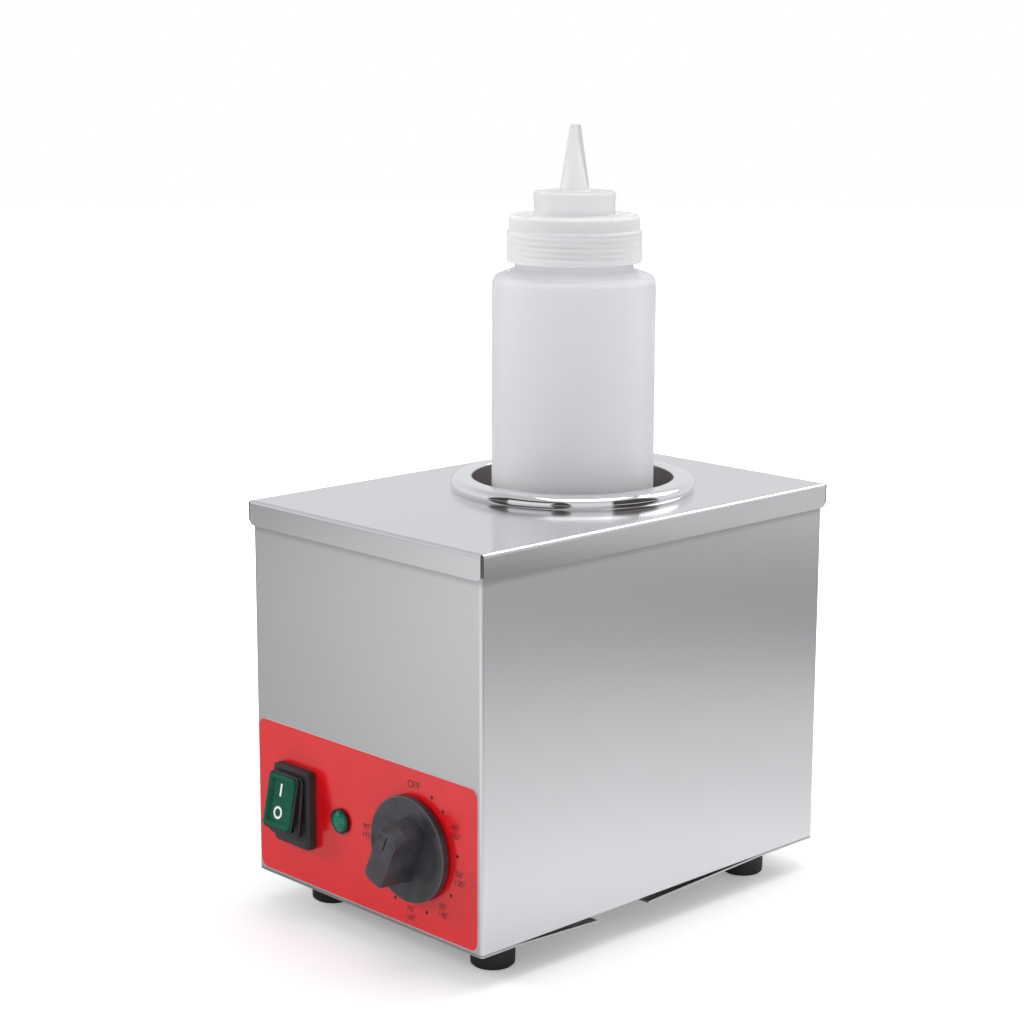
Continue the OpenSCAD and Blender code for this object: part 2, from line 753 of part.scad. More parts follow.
// Rounds the lower end of the flange along X, on its own side of the slit
module flange_end_cut() {
    r = flange_corner_r;
    intersection() {
        translate([0, r, 0]) rotate([90, 0, 0]) linear_extrude(r + over) difference() {
            translate([-over, -over]) square([r + over, r + over]);
            translate([r, r]) circle(r = r);
        }
        translate([0, 0, -2 * over]) linear_extrude(r + 4 * over)
            polygon([[-2 * over, -2 * over], [2 * r, -2 * over], [2 * r, 2 * r]]);
    }
}

module base_plate() {
    color("silver") difference() {
        union() {
            difference() {
                translate([0, centre_y, base_z]) linear_extrude(base_t) round_plan(shell_w, shell_d, bend_r);
                for (s = [0, 1]) mirror([s, 0, 0]) {
                    translate([shell_w / 2 - lip_w, centre_y - lip_front, base_z - over])
                        cube([lip_w + over, lip_front + lip_rear, base_t + 2 * over]);
                    translate([shell_w / 2 - notch_w, centre_y - notch_front, base_z - over])
                        cube([notch_w + over, notch_front - notch_back, base_t + 2 * over]);
                }
            }
            for (s = [0, 1]) mirror([s, 0, 0]) {
                base_lip(-lip_front, -notch_front);
                base_lip(lip_rear, -notch_back);
            }
        }
        for (sx = [-1, 1], sy = [-1, 1]) translate([sx * foot_x, centre_y + sy * foot_y, base_z - over])
            cylinder(r = screw_r + hole_play, h = base_t + 2 * over);
        for (s = [-1, 1], y = [front_y + sheet_t + fold_w / 2, rear_inner_y - fold_w / 2])
            translate([s * base_screw_x, y, base_z - over])
                cylinder(r = small_r + hole_play, h = base_t + 2 * over);
        for (i = [0 : vent_count - 1])
            translate([-vent_l / 2, centre_y - vent_from + i * vent_step, base_z - over])
                cube([vent_l, vent_w, base_t + 2 * over]);
        translate([stud_x, stud_y, base_z - over]) cylinder(r = screw_r + hole_play, h = base_t + 2 * over);
    }
}

// One lip of the base plate: flat at its root and dropping towards the notch
module base_lip(root, tip) {
    run = tip > root ? 1 : -1;
    translate([shell_w / 2 - lip_w + lip_slit, centre_y, base_z]) rotate([90, 0, 90])
        linear_extrude(lip_w - lip_slit) polygon([
            [root - run * bond, 0], [root, 0], [tip, -lip_drop],
            [tip, base_t - lip_drop], [root, base_t], [root - run * bond, base_t]
        ]);
}

module control_overlay() {
    label_w = shell_w - 2 * label_margin;
    color("#e04a4a") difference() {
        translate([0, front_y, shell_z + label_rise + label_h / 2]) rotate([90, 0, 0])
            linear_extrude(label_t) round_plan(label_w, label_h, label_r);
        panel_cuts(0);
        on_front(dial_x) for (s = [-1, 1]) translate([s * stat_screw_span / 2, 0, -over])
            cylinder(r = head_r + hole_play, h = label_t + 2 * over);
    }
}

// Tapered rubber foot with a screw recess
module foot(sx, sy) {
    color("#1c1c1e") translate([sx * foot_x, centre_y + sy * foot_y, 0]) difference() {
        union() {
            translate([0, 0, foot_chamfer])
                cylinder(r1 = foot_r - foot_taper, r2 = foot_r, h = foot_h - foot_chamfer);
            cylinder(r1 = foot_r - foot_taper - foot_chamfer, r2 = foot_r - foot_taper, h = foot_chamfer);
        }
        translate([0, 0, -over]) cylinder(r = head_r + 2 * hole_play, h = foot_recess + over);
        cylinder(r = screw_r + hole_play, h = foot_h + over);
    }
}
module foot_front_left() { foot(-1, -1); }
module foot_front_right() { foot(1, -1); }
module foot_rear_left() { foot(-1, 1); }
module foot_rear_right() { foot(1, 1); }

module foot_screws() {
    color("silver") for (sx = [-1, 1], sy = [-1, 1])
        translate([sx * foot_x, centre_y + sy * foot_y, foot_recess]) mirror([0, 0, 1])
            pan_screw(screw_r, foot_screw_l, head_r, head_t);
}

module foot_nuts() {
    color("silver") for (sx = [-1, 1], sy = [-1, 1])
        translate([sx * foot_x, centre_y + sy * foot_y, base_top]) hex_nut(nut_r, screw_r, nut_t);
}

// Hexagon nut, clear of the screw in it
module hex_nut(r, hole, h) {
    difference() {
        cylinder(r = r, h = h, $fn = 6);
        translate([0, 0, -over]) cylinder(r = hole + seat / 2, h = h + 2 * over);
    }
}

module base_screws() {
    color("silver") for (s = [-1, 1], y = [front_y + sheet_t + fold_w / 2, rear_inner_y - fold_w / 2])
        translate([s * base_screw_x, y, base_z]) mirror([0, 0, 1])
            pan_screw(small_r, base_screw_l, small_head_r, small_head_t);
}

module rear_screws() {
    color("silver") for (s = [-1, 1], z = rear_screw_zs) translate([s * rear_fold_x, rear_y, z])
        rotate([-90, 0, 0]) pan_screw(small_r, rear_screw_l, small_head_r, small_head_t);
}

module cover_screws() {
    color("silver") for (s = [-1, 1]) translate([s * rear_fold_x, centre_y + lid_d / 2, cover_screw_z])
        rotate([-90, 0, 0]) pan_screw(small_r, rear_screw_l, small_head_r, small_head_t);
}

// Section of the rim's metal, grown inward by t: its crowned top and its outer roll
module rim_outline(t) {
    intersection() {
        translate([crown_x, rim_h - crown_r]) circle(r = crown_r - t, $fn = 192);
        translate([well_r + t, 0]) square([roll_x - well_r - t, rim_h]);
    }
    intersection() {
        translate([roll_x, roll_z]) circle(r = roll_r - t);
        translate([roll_x - bond, 0]) square([roll_r + bond, rim_h]);
    }
}

module well() {
    color("#d8dade") on_well(0) rotate_extrude($fn = 128) {
        translate([0, cover_top]) difference() {
            rim_outline(0);
            rim_outline(rim_t);
        }
        translate([well_r, well_floor + well_corner_r])
            square([well_wall, cover_top + rim_h - well_floor - well_corner_r - rim_t]);
        translate([0, well_bottom]) square([well_r - well_corner_r, well_wall]);
        intersection() {
            translate([well_r - well_corner_r, well_floor + well_corner_r]) difference() {
                circle(r = well_corner_r + well_wall);
                circle(r = well_corner_r);
            }
            translate([well_r - well_corner_r, well_bottom])
                square([well_corner_r + well_wall, well_corner_r + well_wall]);
        }
    }
}

module well_collar() {
    color("darkgray") difference() {
        union() {
            on_well(collar_z) ring(collar_sleeve_r, collar_in_r, collar_h);
            on_well(cover_under - collar_flange_t) ring(collar_out_r, collar_in_r, collar_flange_t);
        }
        collar_screw_places() translate([0, 0, -over])
            cylinder(r = small_r + seat, h = collar_screw_l + 2 * over);
    }
}

// Three radial places round the collar, with Z outward from the well's wall
module collar_screw_places() {
    for (a = [30, 150, 270]) on_well(collar_z + (collar_h - collar_flange_t) / 2) rotate([0, 0, a])
        translate([well_out_r + seat / 2, 0, 0]) rotate([0, 90, 0]) children();
}

module collar_screws() {
    color("silver") collar_screw_places() cylinder(r = small_r, h = collar_screw_l);
}

// Block in front of the well that opens a split of width w
module front_split(w, h) {
    translate([-w / 2, -3 * well_r, -over]) cube([w, 3 * well_r, h + 2 * over]);
}

module band_heater() {
    color("#b9a27c") on_well(heater_z) difference() {
        ring(heater_out_r, heater_in_r, heater_h);
        front_split(heater_split, heater_h);
    }
}

module heater_strap() {
    lug_root = sqrt(pow(strap_in_r, 2) - pow(heater_split / 2, 2));
    color("lightgray") difference() {
        union() {
            on_well(strap_z) difference() {
                ring(strap_out_r, strap_in_r, strap_h);
                front_split(heater_split, strap_h);
            }
            for (s = [0, 1]) mirror([s, 0, 0]) translate([heater_split / 2, lug_y, strap_z])
                cube([lug_t, strap_out_r + lug_reach - lug_root - strap_t / 2, strap_h]);
        }
        translate([-wool_split / 2, strap_screw_y, strap_screw_z]) rotate([0, 90, 0])
            cylinder(r = screw_r + hole_play, h = wool_split);
    }
}

module strap_screw() {
    lug_out = heater_split / 2 + lug_t;
    color("silver") translate([0, strap_screw_y, strap_screw_z]) rotate([0, 90, 0]) {
        translate([0, 0, lug_out]) pan_screw(screw_r, 2 * lug_out + nut_t + screw_proud, head_r, head_t);
        translate([0, 0, -lug_out - nut_t]) cylinder(r = nut_r, h = nut_t, $fn = 6);
    }
}

module insulation_sleeve() {
    color("#e6dcc0") on_well(wool_z) difference() {
        ring(wool_in_r + wool_t, wool_in_r, wool_h);
        front_split(wool_split, wool_h);
    }
}

module thermal_cutout() {
    color("#3a332c") on_well(well_bottom - cutout_h) {
        cylinder(r = cutout_r, h = cutout_h);
        for (s = [-1, 1]) translate([s * cutout_r / 2 - blade_w / 2, -blade_t / 2, -blade_l])
            cube([blade_w, blade_t, blade_l + bond]);
    }
}

// Hat-shaped strap that holds the thermal cut-out against the well's floor
module cutout_bracket() {
    leg_in = cutout_r + seat;
    foot_out = leg_in + bracket_t + bracket_foot;
    color("silver") on_well(well_bottom - cutout_h - bracket_t) difference() {
        union() {
            translate([-leg_in - bracket_t, -bracket_w / 2, 0])
                cube([2 * (leg_in + bracket_t), bracket_w, bracket_t]);
            for (s = [0, 1]) mirror([s, 0, 0]) {
                translate([leg_in, -bracket_w / 2, 0]) cube([bracket_t, bracket_w, cutout_h + bracket_t]);
                translate([leg_in, -bracket_w / 2, cutout_h])
                    cube([foot_out - leg_in, bracket_w, bracket_t]);
            }
        }
        for (s = [-1, 1]) translate([s * cutout_r / 2 - blade_w / 2 - seat, -blade_t / 2 - seat, -over])
            cube([blade_w + 2 * seat, blade_t + 2 * seat, bracket_t + 2 * over]);
    }
}

module thermostat_body() {
    color("#c9c9c4") on_front(dial_x) difference() {
        union() {
            translate([-stat_plate_w / 2, -stat_plate_h / 2, -sheet_t - stat_plate_t])
                cube([stat_plate_w, stat_plate_h, stat_plate_t]);
            pad(stat_w, stat_w, bend_r, stat_back, stat_l + bond);
            translate([0, 0, -sheet_t - bond]) cylinder(r = boss_r, h = sheet_t + label_t + bond);
            translate([0, 0, stat_back - cup_h]) cylinder(r = cup_r, h = cup_h + bond);
            for (sx = [-1, 1], sy = [-1, 1])
                translate([sx * stat_blade_x, sy * stat_blade_rise, stat_back - blade_l])
                    translate([-blade_w / 2, -blade_t / 2, 0]) cube([blade_w, blade_t, blade_l + bond]);
        }
        translate([0, 0, shaft_root]) cylinder(r = shaft_r + shaft_play, h = -shaft_root + over);
        for (s = [-1, 1]) translate([s * stat_screw_span / 2, 0, -sheet_t - stat_plate_t - stat_screw_room])
            cylinder(r = screw_r + hole_play / 2, h = stat_plate_t + stat_screw_room + over);
    }
}

module thermostat_shaft() {
    color("#b9a868") on_front(dial_x) rotate([0, 0, -knob_angle]) difference() {
        translate([0, 0, shaft_root + seat]) cylinder(r = shaft_r, h = shaft_end - shaft_root - seat);
        translate([-shaft_r, shaft_flat, knob_back + hollow_depth]) cube([2 * shaft_r, shaft_r, shaft_grip]);
    }
}

module thermostat_screws() {
    color("silver") on_front(dial_x) for (s = [-1, 1]) translate([s * stat_screw_span / 2, 0, 0])
        pan_screw(screw_r, stat_screw_l, head_r, low_head_t);
}

module thermostat_bulb() {
    color("#c98a5a") translate([0, bulb_y, bulb_z]) {
        cylinder(r = bulb_r, h = bulb_l);
        sphere(r = bulb_r);
        translate([0, 0, bulb_l]) sphere(r = bulb_r);
    }
}

// Spring clip that hooks round the bulb and rests its ears on the well
module bulb_clip() {
    hoop_r = bulb_r + seat;
    ear_y = -bulb_r - 2 * seat + bulb_r - clip_t;
    color("silver") translate([0, bulb_y, clip_z]) difference() {
        union() {
            cylinder(r = hoop_r + clip_t, h = clip_h);
            translate([-hoop_r - clip_t - clip_ear, bulb_r - clip_t, 0])
                cube([2 * (hoop_r + clip_t + clip_ear), clip_t, clip_h]);
        }
        translate([0, 0, -over]) cylinder(r = hoop_r, h = clip_h + 2 * over);
        translate([-hoop_r, 0, -over]) cube([2 * hoop_r, 3 * hoop_r, clip_h + 2 * over]);
        translate([-2 * hoop_r, bulb_r, -over]) cube([4 * hoop_r, 2 * hoop_r, clip_h + 2 * over]);
    }
}

module capillary() {
    color("#c98a5a") tube([
        [0, bulb_y, bulb_z - bulb_r],
        [0, bulb_y, bulb_z - 3 * bulb_r],
        [dial_x / 4, bulb_y - 2 * bulb_r, bulb_z - 5 * bulb_r],
        [dial_x * 3 / 4, front_y - stat_back + cup_h + 4 * bulb_r, panel_z + 3 * bulb_r],
        [dial_x, front_y - stat_back + cup_h + 2 * bulb_r, panel_z],
        [dial_x, front_y - stat_back + cup_h, panel_z]
    ], capillary_r);
}

module knob() {
    color("#3c3e42") on_front(dial_x) rotate([0, 0, -knob_angle]) difference() {
        union() {
            difference() {
                translate([0, 0, knob_back]) {
                    cylinder(r = skirt_r, h = skirt_t - skirt_edge);
                    translate([0, 0, skirt_t - skirt_edge])
                        cylinder(r1 = skirt_r, r2 = skirt_r - skirt_edge, h = skirt_edge);
                }
                translate([0, 0, knob_back + skirt_t - dish_depth])
                    cylinder(r1 = grip_foot_r, r2 = dish_r, h = dish_depth + skin);
                translate([0, 0, knob_back - over]) cylinder(r = hollow_r, h = hollow_depth + over);
            }
            translate([0, 0, knob_back]) cylinder(r = hub_sleeve_r, h = skirt_t - dish_depth);
            grip();
        }
        difference() {
            translate([0, 0, knob_back - over]) cylinder(r = shaft_r + shaft_play, h = bore_depth + over);
            translate([-shaft_r - over, bore_flat, knob_back + hollow_depth])
                cube([2 * (shaft_r + over), shaft_r, bore_depth + over]);
        }
        translate([-pointer_w / 2, pointer_out - pointer_l, knob_reach - pointer_depth])
            cube([pointer_w, pointer_l, pointer_depth + over]);
    }
}

// Bar grip: a drafted wedge with round ends
module grip() {
    foot_z = knob_back + skirt_t - dish_depth - bond;
    grip_l = knob_reach - foot_z;
    intersection() {
        translate([0, 0, foot_z]) cylinder(r1 = grip_foot_r, r2 = grip_r, h = grip_l);
        translate([0, grip_foot_r + over, foot_z]) rotate([90, 0, 0]) linear_extrude(2 * (grip_foot_r + over))
            polygon([
                [-grip_w / 2 - grip_draft, 0], [grip_w / 2 + grip_draft, 0],
                [grip_w / 2, grip_l], [-grip_w / 2, grip_l]
            ]);
    }
}

module knob_clip() {
    color("silver") on_front(dial_x) rotate([0, 0, -knob_angle])
        translate([-shaft_r / 2, shaft_flat + seat, knob_back + hollow_depth + seat])
            cube([shaft_r, bore_flat - shaft_flat - 2 * seat, shaft_grip - hollow_depth - seat]);
}

module switch_housing() {
    color("#202022") on_front(switch_x) difference() {
        union() {
            pad(bezel_w, bezel_h, boot_r, label_t, bezel_t);
            translate([-housing_w / 2, -housing_h / 2, -housing_l])
                cube([housing_w, housing_h, housing_l + label_t + bond]);
            for (s = [0, 1]) mirror([0, s, 0]) translate([-housing_w / 4, housing_h / 2, -sheet_t - seat])
                rotate([90, 0, 90]) linear_extrude(housing_w / 2)
                    polygon([[-bond, 0], [catch_t, 0], [-bond, -housing_l / 3]]);
        }
        translate([0, 0, -cavity_depth]) linear_extrude(cavity_depth + label_t + bezel_t + over)
            square([housing_w - 2 * housing_wall, housing_h - 2 * housing_wall], center = true);
        translate([-pin_out - seat, 0, -pivot_depth]) rotate([0, 90, 0])
            cylinder(r = pin_r + pin_play, h = 2 * (pin_out + seat));
    }
}

module switch_blades() {
    color("#c8a24a") on_front(switch_x) for (y = [-blade_row / 2, blade_row / 2], s = [-1, 1])
        translate([s * housing_w / 4 - blade_w / 2, y - blade_t / 2, -housing_l - blade_l])
            cube([blade_w, blade_t, blade_l]);
}

module switch_boot() {
    color("#1d1d20") on_front(switch_x) difference() {
        union() {
            pad(boot_w, boot_h, boot_r, label_t, boot_t - boot_terrace_t - label_t);
            pad(boot_w - 2 * boot_step, boot_h - 2 * boot_step, boot_r, label_t, boot_t - label_t);
        }
        pad(bezel_w + 2 * seat, bezel_h + 2 * seat, boot_r, label_t - over, bezel_t + over + seat);
        translate([0, 0, label_t]) linear_extrude(boot_t + over) square([window_w, window_h], center = true);
    }
}

// Places a piece of the switch at an angle about the rocker's pivot, with Z out along the rocker
module at_tilt(angle) {
    on_front(switch_x) translate([0, 0, -pivot_depth]) rotate([angle, 0, 0]) children();
}

module boot_fold() {
    color("#1d1d20") at_tilt(-fold_tilt) difference() {
        pad(fold_out_w, fold_out_h, rocker_r, fold_from, fold_t);
        translate([0, 0, fold_from - over]) linear_extrude(fold_t + 2 * over)
            square([fold_hole_w, fold_hole_h], center = true);
    }
}

module boot_lip() {
    color("#1d1d20") at_tilt(-rocker_tilt) difference() {
        pad(lip_out_w, lip_out_h, rocker_r, lip_from, lip_t);
        pad(rocker_w, rocker_h, rocker_r, lip_from - over, lip_t + 2 * over);
    }
}

module rocker() {
    color("#0d6b4a") at_tilt(-rocker_tilt) {
        pad(rocker_w, rocker_h, rocker_r, lip_from, rocker_t);
        translate([-stem_w / 2, -stem_h / 2, -stem_root]) cube([stem_w, stem_h, lip_from + stem_root + bond]);
        translate([-pin_out, 0, 0]) rotate([0, 90, 0]) cylinder(r = pin_r, h = 2 * pin_out);
    }
}

module pilot_lens() {
    dome_r = (lens_r * lens_r + lens_dome_h * lens_dome_h) / (2 * lens_dome_h);
    color("#1f9a63") on_front(pilot_x) {
        translate([0, 0, label_t]) cylinder(r = lens_r, h = lens_rim_h);
        intersection() {
            translate([0, 0, label_t + lens_rim_h - skin]) cylinder(r = lens_r, h = lens_dome_h + over);
            translate([0, 0, label_t + lens_rim_h + lens_dome_h - dome_r]) sphere(r = dome_r, $fn = 128);
        }
    }
}

module pilot_body() {
    color("#2a2a2c") on_front(pilot_x) {
        translate([0, 0, -lamp_l]) cylinder(r = lamp_r, h = lamp_l + label_t);
        for (s = [-1, 1]) translate([s * lamp_r / 2, 0, -lamp_l - blade_l / 2])
            cylinder(r = blade_t / 2, h = blade_l / 2 + bond);
    }
}

module pilot_nut() {
    color("silver") on_front(pilot_x) translate([0, 0, -sheet_t - push_nut_t])
        ring(push_nut_r, lamp_r + seat, push_nut_t);
}

module terminal_block() {
    color("#e8e4d8") translate([0, block_y, block_foot_z]) difference() {
        translate([-block_l / 2, -block_w / 2, 0]) cube([block_l, block_w, block_h]);
        for (i = [-1 : 1], s = [-1, 1]) translate([i * pole_step, s * pole_y, wire_z - block_foot_z])
            cylinder(r = pole_r + seat, h = block_h);
        for (i = [-1 : 1]) translate([i * pole_step, -block_w / 2 - over, wire_z - block_foot_z])
            rotate([-90, 0, 0]) cylinder(r = wire_r + seat, h = block_w + 2 * over);
    }
}

module terminal_screws() {
    foot_z = wire_z + wire_r + seat;
    color("#c8a24a") for (i = [-1 : 1], s = [-1, 1])
        translate([i * pole_step, block_y + s * pole_y, foot_z])
            cylinder(r = pole_r, h = block_foot_z + block_h - pole_sunk - foot_z);
}

module earth_stud() {
    color("#c8a24a") translate([stud_x, stud_y, base_z]) {
        translate([0, 0, -head_t / 2]) cylinder(r = head_r, h = head_t / 2);
        translate([0, 0, -bond]) cylinder(r = screw_r, h = stud_h + bond);
    }
}

module earth_nuts() {
    color("silver") for (i = [0, 1])
        translate([stud_x, stud_y, base_top + i * (nut_t + 2 * wire_r + 2 * seat)])
            hex_nut(nut_r, screw_r, nut_t);
}

module cord_bushing() {
    color("#1c1c1e") translate([inlet_x, rear_y - sheet_t, inlet_z]) rotate([-90, 0, 0]) difference() {
        union() {
            cylinder(r = bush_head_r, h = bush_head_t);
            translate([0, 0, -barrel_l]) cylinder(r = barrel_r, h = barrel_l + bond);
        }
        translate([0, 0, -barrel_l - over]) cylinder(r = inlet_r, h = barrel_l + bush_head_t + 2 * over);
    }
}

module bushing_nut() {
    color("#1c1c1e") translate([inlet_x, rear_inner_y - bush_nut_t, inlet_z]) rotate([-90, 0, 0])
        difference() {
            cylinder(r = bush_nut_r, h = bush_nut_t, $fn = 6);
            translate([0, 0, -over]) cylinder(r = barrel_r + seat, h = bush_nut_t + 2 * over);
        }
}

// Route from a blade at the front to a pole of the terminal block, along the base plate
function floor_route(x, y, z, pole) = [
    [x, y, z],
    [x, y + wire_bend, z],
    [x, y + 2 * wire_bend, (z + wire_z) / 2],
    [(3 * x + pole * pole_step) / 4, y + 3.4 * wire_bend, wire_z],
    [pole * pole_step, block_y - block_w / 2 - 2 * wire_bend, wire_z],
    [pole * pole_step, block_y - block_w / 2 - wire_bend / 2, wire_z],
    [pole * pole_step, block_y - block_w / 2 + wire_r, wire_z]
];

module wire_live() {
    color("#7a4a2a")
        tube(floor_route(switch_x - housing_w / 4, switch_back_y, panel_z - blade_row / 2, -1), wire_r);
}

module wire_neutral() {
    color("#2f5fa8")
        tube(floor_route(switch_x + housing_w / 4, switch_back_y, panel_z - blade_row / 2, 0), wire_r);
}

// From the switch to the thermostat's near blade
module wire_control() {
    x0 = switch_x + housing_w / 4;
    x1 = dial_x - stat_blade_x;
    z0 = panel_z + blade_row / 2;
    z1 = panel_z - stat_blade_rise;
    color("#7a4a2a") tube([
        [x0, switch_back_y, z0],
        [x0, switch_back_y + wire_bend, z0],
        [(2 * x0 + x1) / 3, stat_blade_y + 1.6 * wire_bend, (2 * z0 + z1) / 3],
        [(x0 + 2 * x1) / 3, stat_blade_y + 1.6 * wire_bend, z1],
        [x1, stat_blade_y + wire_bend, z1],
        [x1, stat_blade_y, z1]
    ], wire_r);
}

// From the thermostat's far blade to the thermal cut-out under the well
module wire_heater() {
    x0 = dial_x + stat_blade_x;
    z0 = panel_z - stat_blade_rise;
    x1 = cutout_r / 2;
    color("#7a4a2a") tube([
        [x0, stat_blade_y, z0],
        [x0, stat_blade_y + wire_bend, z0],
        [x0 * 0.8, stat_blade_y + 2.4 * wire_bend, z0 - wire_bend / 3],
        [x1 + wire_bend / 2, well_y - wire_bend, base_top + loop_share * (cutout_foot_z - base_top)],
        [x1, well_y, cutout_foot_z - wire_bend],
        [x1, well_y, cutout_foot_z]
    ], wire_r);
}

// From the thermal cut-out to the band heater's lower edge
module wire_limit() {
    x0 = -cutout_r / 2;
    x1 = -heater_in_r - heater_t / 2;
    color("#7a4a2a") tube([
        [x0, well_y, cutout_foot_z],
        [x0, well_y, cutout_foot_z - wire_bend],
        [(2 * x0 + x1) / 3, well_y, cutout_foot_z - 1.4 * wire_bend],
        [(x0 + 2 * x1) / 3, well_y, (cutout_foot_z + well_bottom) / 2 - wire_bend],
        [x1, well_y, heater_z - wire_bend],
        [x1, well_y, heater_z]
    ], wire_r);
}

// From the pilot light's pins to the thermostat's upper blades
module pilot_leads() {
    color("#8a3a3a") for (s = [-1, 1]) {
        x0 = pilot_x + s * lamp_r / 2;
        x1 = dial_x + s * stat_blade_x;
        z1 = panel_z + stat_blade_rise;
        deep = stat_blade_y + (2 + s) * wire_bend;
        tube([
            [x0, lamp_back_y, panel_z],
            [x0, lamp_back_y + wire_bend, panel_z],
            [(2 * x0 + x1) / 3, deep, panel_z + wire_bend / 2],
            [(x0 + 2 * x1) / 3, deep, z1],
            [x1, stat_blade_y + wire_bend, z1],
            [x1, stat_blade_y, z1]
        ], wire_r);
    }
}

// From the band heater's lower edge to the terminal block
module wire_return() {
    heater_x = heater_in_r + heater_t / 2;
    color("#2f5fa8") tube([
        [heater_x, well_y, heater_z],
        [heater_x, well_y, heater_z - wire_bend],
        [heater_x - wire_bend / 2, well_y, heater_z - 3 * wire_bend],
        [heater_x - 2 * wire_bend, block_y - block_w / 2 - 3 * wire_bend, wire_z + wire_bend / 2],
        [pole_step, block_y - block_w / 2 - 2 * wire_bend, wire_z],
        [pole_step, block_y - block_w / 2 - wire_bend / 2, wire_z],
        [pole_step, block_y - block_w / 2 + wire_r, wire_z]
    ], wire_r);
}

// From the earth stud's nuts to the terminal block's back
module wire_earth() {
    lug_z = base_top + nut_t + wire_r + seat;
    color("#7fa83a") {
        tube([
            [stud_x + nut_r, stud_y, lug_z],
            [stud_x + nut_r + wire_bend / 2, stud_y, lug_z],
            [stud_x + 1.4 * wire_bend, stud_y + block_w / 2 + wire_bend, (lug_z + wire_z) / 2],
            [-pole_step - wire_bend / 4, stud_y + block_w / 2 + 1.6 * wire_bend, wire_z],
            [-pole_step, block_y + block_w / 2 + wire_bend / 2, wire_z],
            [-pole_step, block_y + block_w / 2 - wire_r, wire_z]
        ], wire_r);
        translate([stud_x, stud_y, lug_z - wire_r]) difference() {
            union() {
                cylinder(r = nut_r, h = 2 * wire_r);
                translate([0, -wire_r, 0]) cube([nut_r + wire_r, 2 * wire_r, 2 * wire_r]);
            }
            translate([0, 0, -over]) cylinder(r = screw_r + seat, h = 2 * wire_r + 2 * over);
        }
    }
}

// Section of the bottle, grown inward by t
module bottle_outline(t) {
    floor_z = bottle_z + t;
    r = bottle_r - t;
    round_r = shoulder_r - t;
    low_r = heel_r - t;
    translate([0, floor_z]) square([r - low_r, low_r + bond]);
    translate([r - low_r, floor_z + low_r]) circle(r = low_r);
    translate([0, floor_z + low_r]) square([r, shoulder_z - t - round_r - floor_z - low_r]);
    translate([r - round_r, shoulder_z - t - round_r]) circle(r = round_r);
    polygon([
        [0, shoulder_z - t - round_r - bond], [r - round_r, shoulder_z - t - round_r - bond],
        [r - round_r, shoulder_z - t], [neck_r - t, neck_z - t], [0, neck_z - t]
    ]);
    translate([0, neck_z - t]) square([neck_r - t, neck_top - neck_z + t + (t > 0 ? over : 0)]);
}

module bottle_body() {
    color("#e4e9ee", 0.6) on_well(0) difference() {
        union() {
            rotate_extrude($fn = 128) intersection() {
                bottle_outline(0);
                translate([0, bottle_z]) square([bottle_r, neck_top - bottle_z]);
            }
            for (i = [1 : thread_turns]) translate([0, 0, cap_z + thread_pitch * i])
                rotate([thread_tilt, 0, 0]) rotate_extrude($fn = 128) translate([neck_r - bond, 0])
                    thread_section();
        }
        rotate_extrude($fn = 128) intersection() {
            bottle_outline(bottle_wall);
            translate([0, bottle_z]) square([bottle_r, neck_top + over - bottle_z]);
        }
    }
}

// Section of one band of the thread
module thread_section() {
    polygon([
        [0, -thread_pitch / 4], [thread_depth + bond, -thread_pitch / 12],
        [thread_depth + bond, thread_pitch / 12], [0, thread_pitch / 4]
    ]);
}

// Section of the cap's outside
module cap_outline() {
    polygon([
        [0, cap_z], [cap_r, cap_z], [cap_r, cap_step_z - cap_step], [cap_up_r, cap_step_z],
        [cap_up_r, cap_top - cap_edge_r], [0, cap_top - cap_edge_r]
    ]);
    translate([0, cap_top - 2 * cap_edge_r]) square([cap_up_r - cap_edge_r, 2 * cap_edge_r]);
    translate([cap_up_r - cap_edge_r, cap_top - cap_edge_r]) circle(r = cap_edge_r);
    translate([0, cap_top - bond]) square([hub_r, hub_h - cap_edge_r + bond]);
    translate([0, hub_top - 2 * cap_edge_r]) square([hub_r - cap_edge_r, 2 * cap_edge_r]);
    translate([hub_r - cap_edge_r, hub_top - cap_edge_r]) circle(r = cap_edge_r);
    polygon([
        [0, hub_top - bond], [spout_r, hub_top - bond], [spout_r, hub_top],
        [tip_r, spout_top - tip_r], [0, spout_top - tip_r]
    ]);
    intersection() {
        translate([0, spout_top - tip_r]) circle(r = tip_r);
        translate([0, spout_top - tip_r]) square([tip_r, tip_r]);
    }
}

// Section of the cap's hollow
module cap_hollow() {
    hub_roof_z = hub_top - cap_wall;
    translate([0, cap_z - over]) square([cap_in_r, cap_roof_z - cap_z + over]);
    translate([0, cap_roof_z - bond]) square([hub_r - cap_wall, hub_roof_z - cap_roof_z + bond]);
    polygon([
        [0, hub_roof_z - bond], [spout_r - cap_wall, hub_roof_z - bond], [spout_r - cap_wall, hub_roof_z],
        [orifice_r, spout_top - 2 * tip_r], [orifice_r, spout_top + over], [0, spout_top + over]
    ]);
}

module bottle_cap() {
    color("#eef1f4", 0.7) on_well(0) rotate_extrude($fn = 128) difference() {
        cap_outline();
        cap_hollow();
    }
}

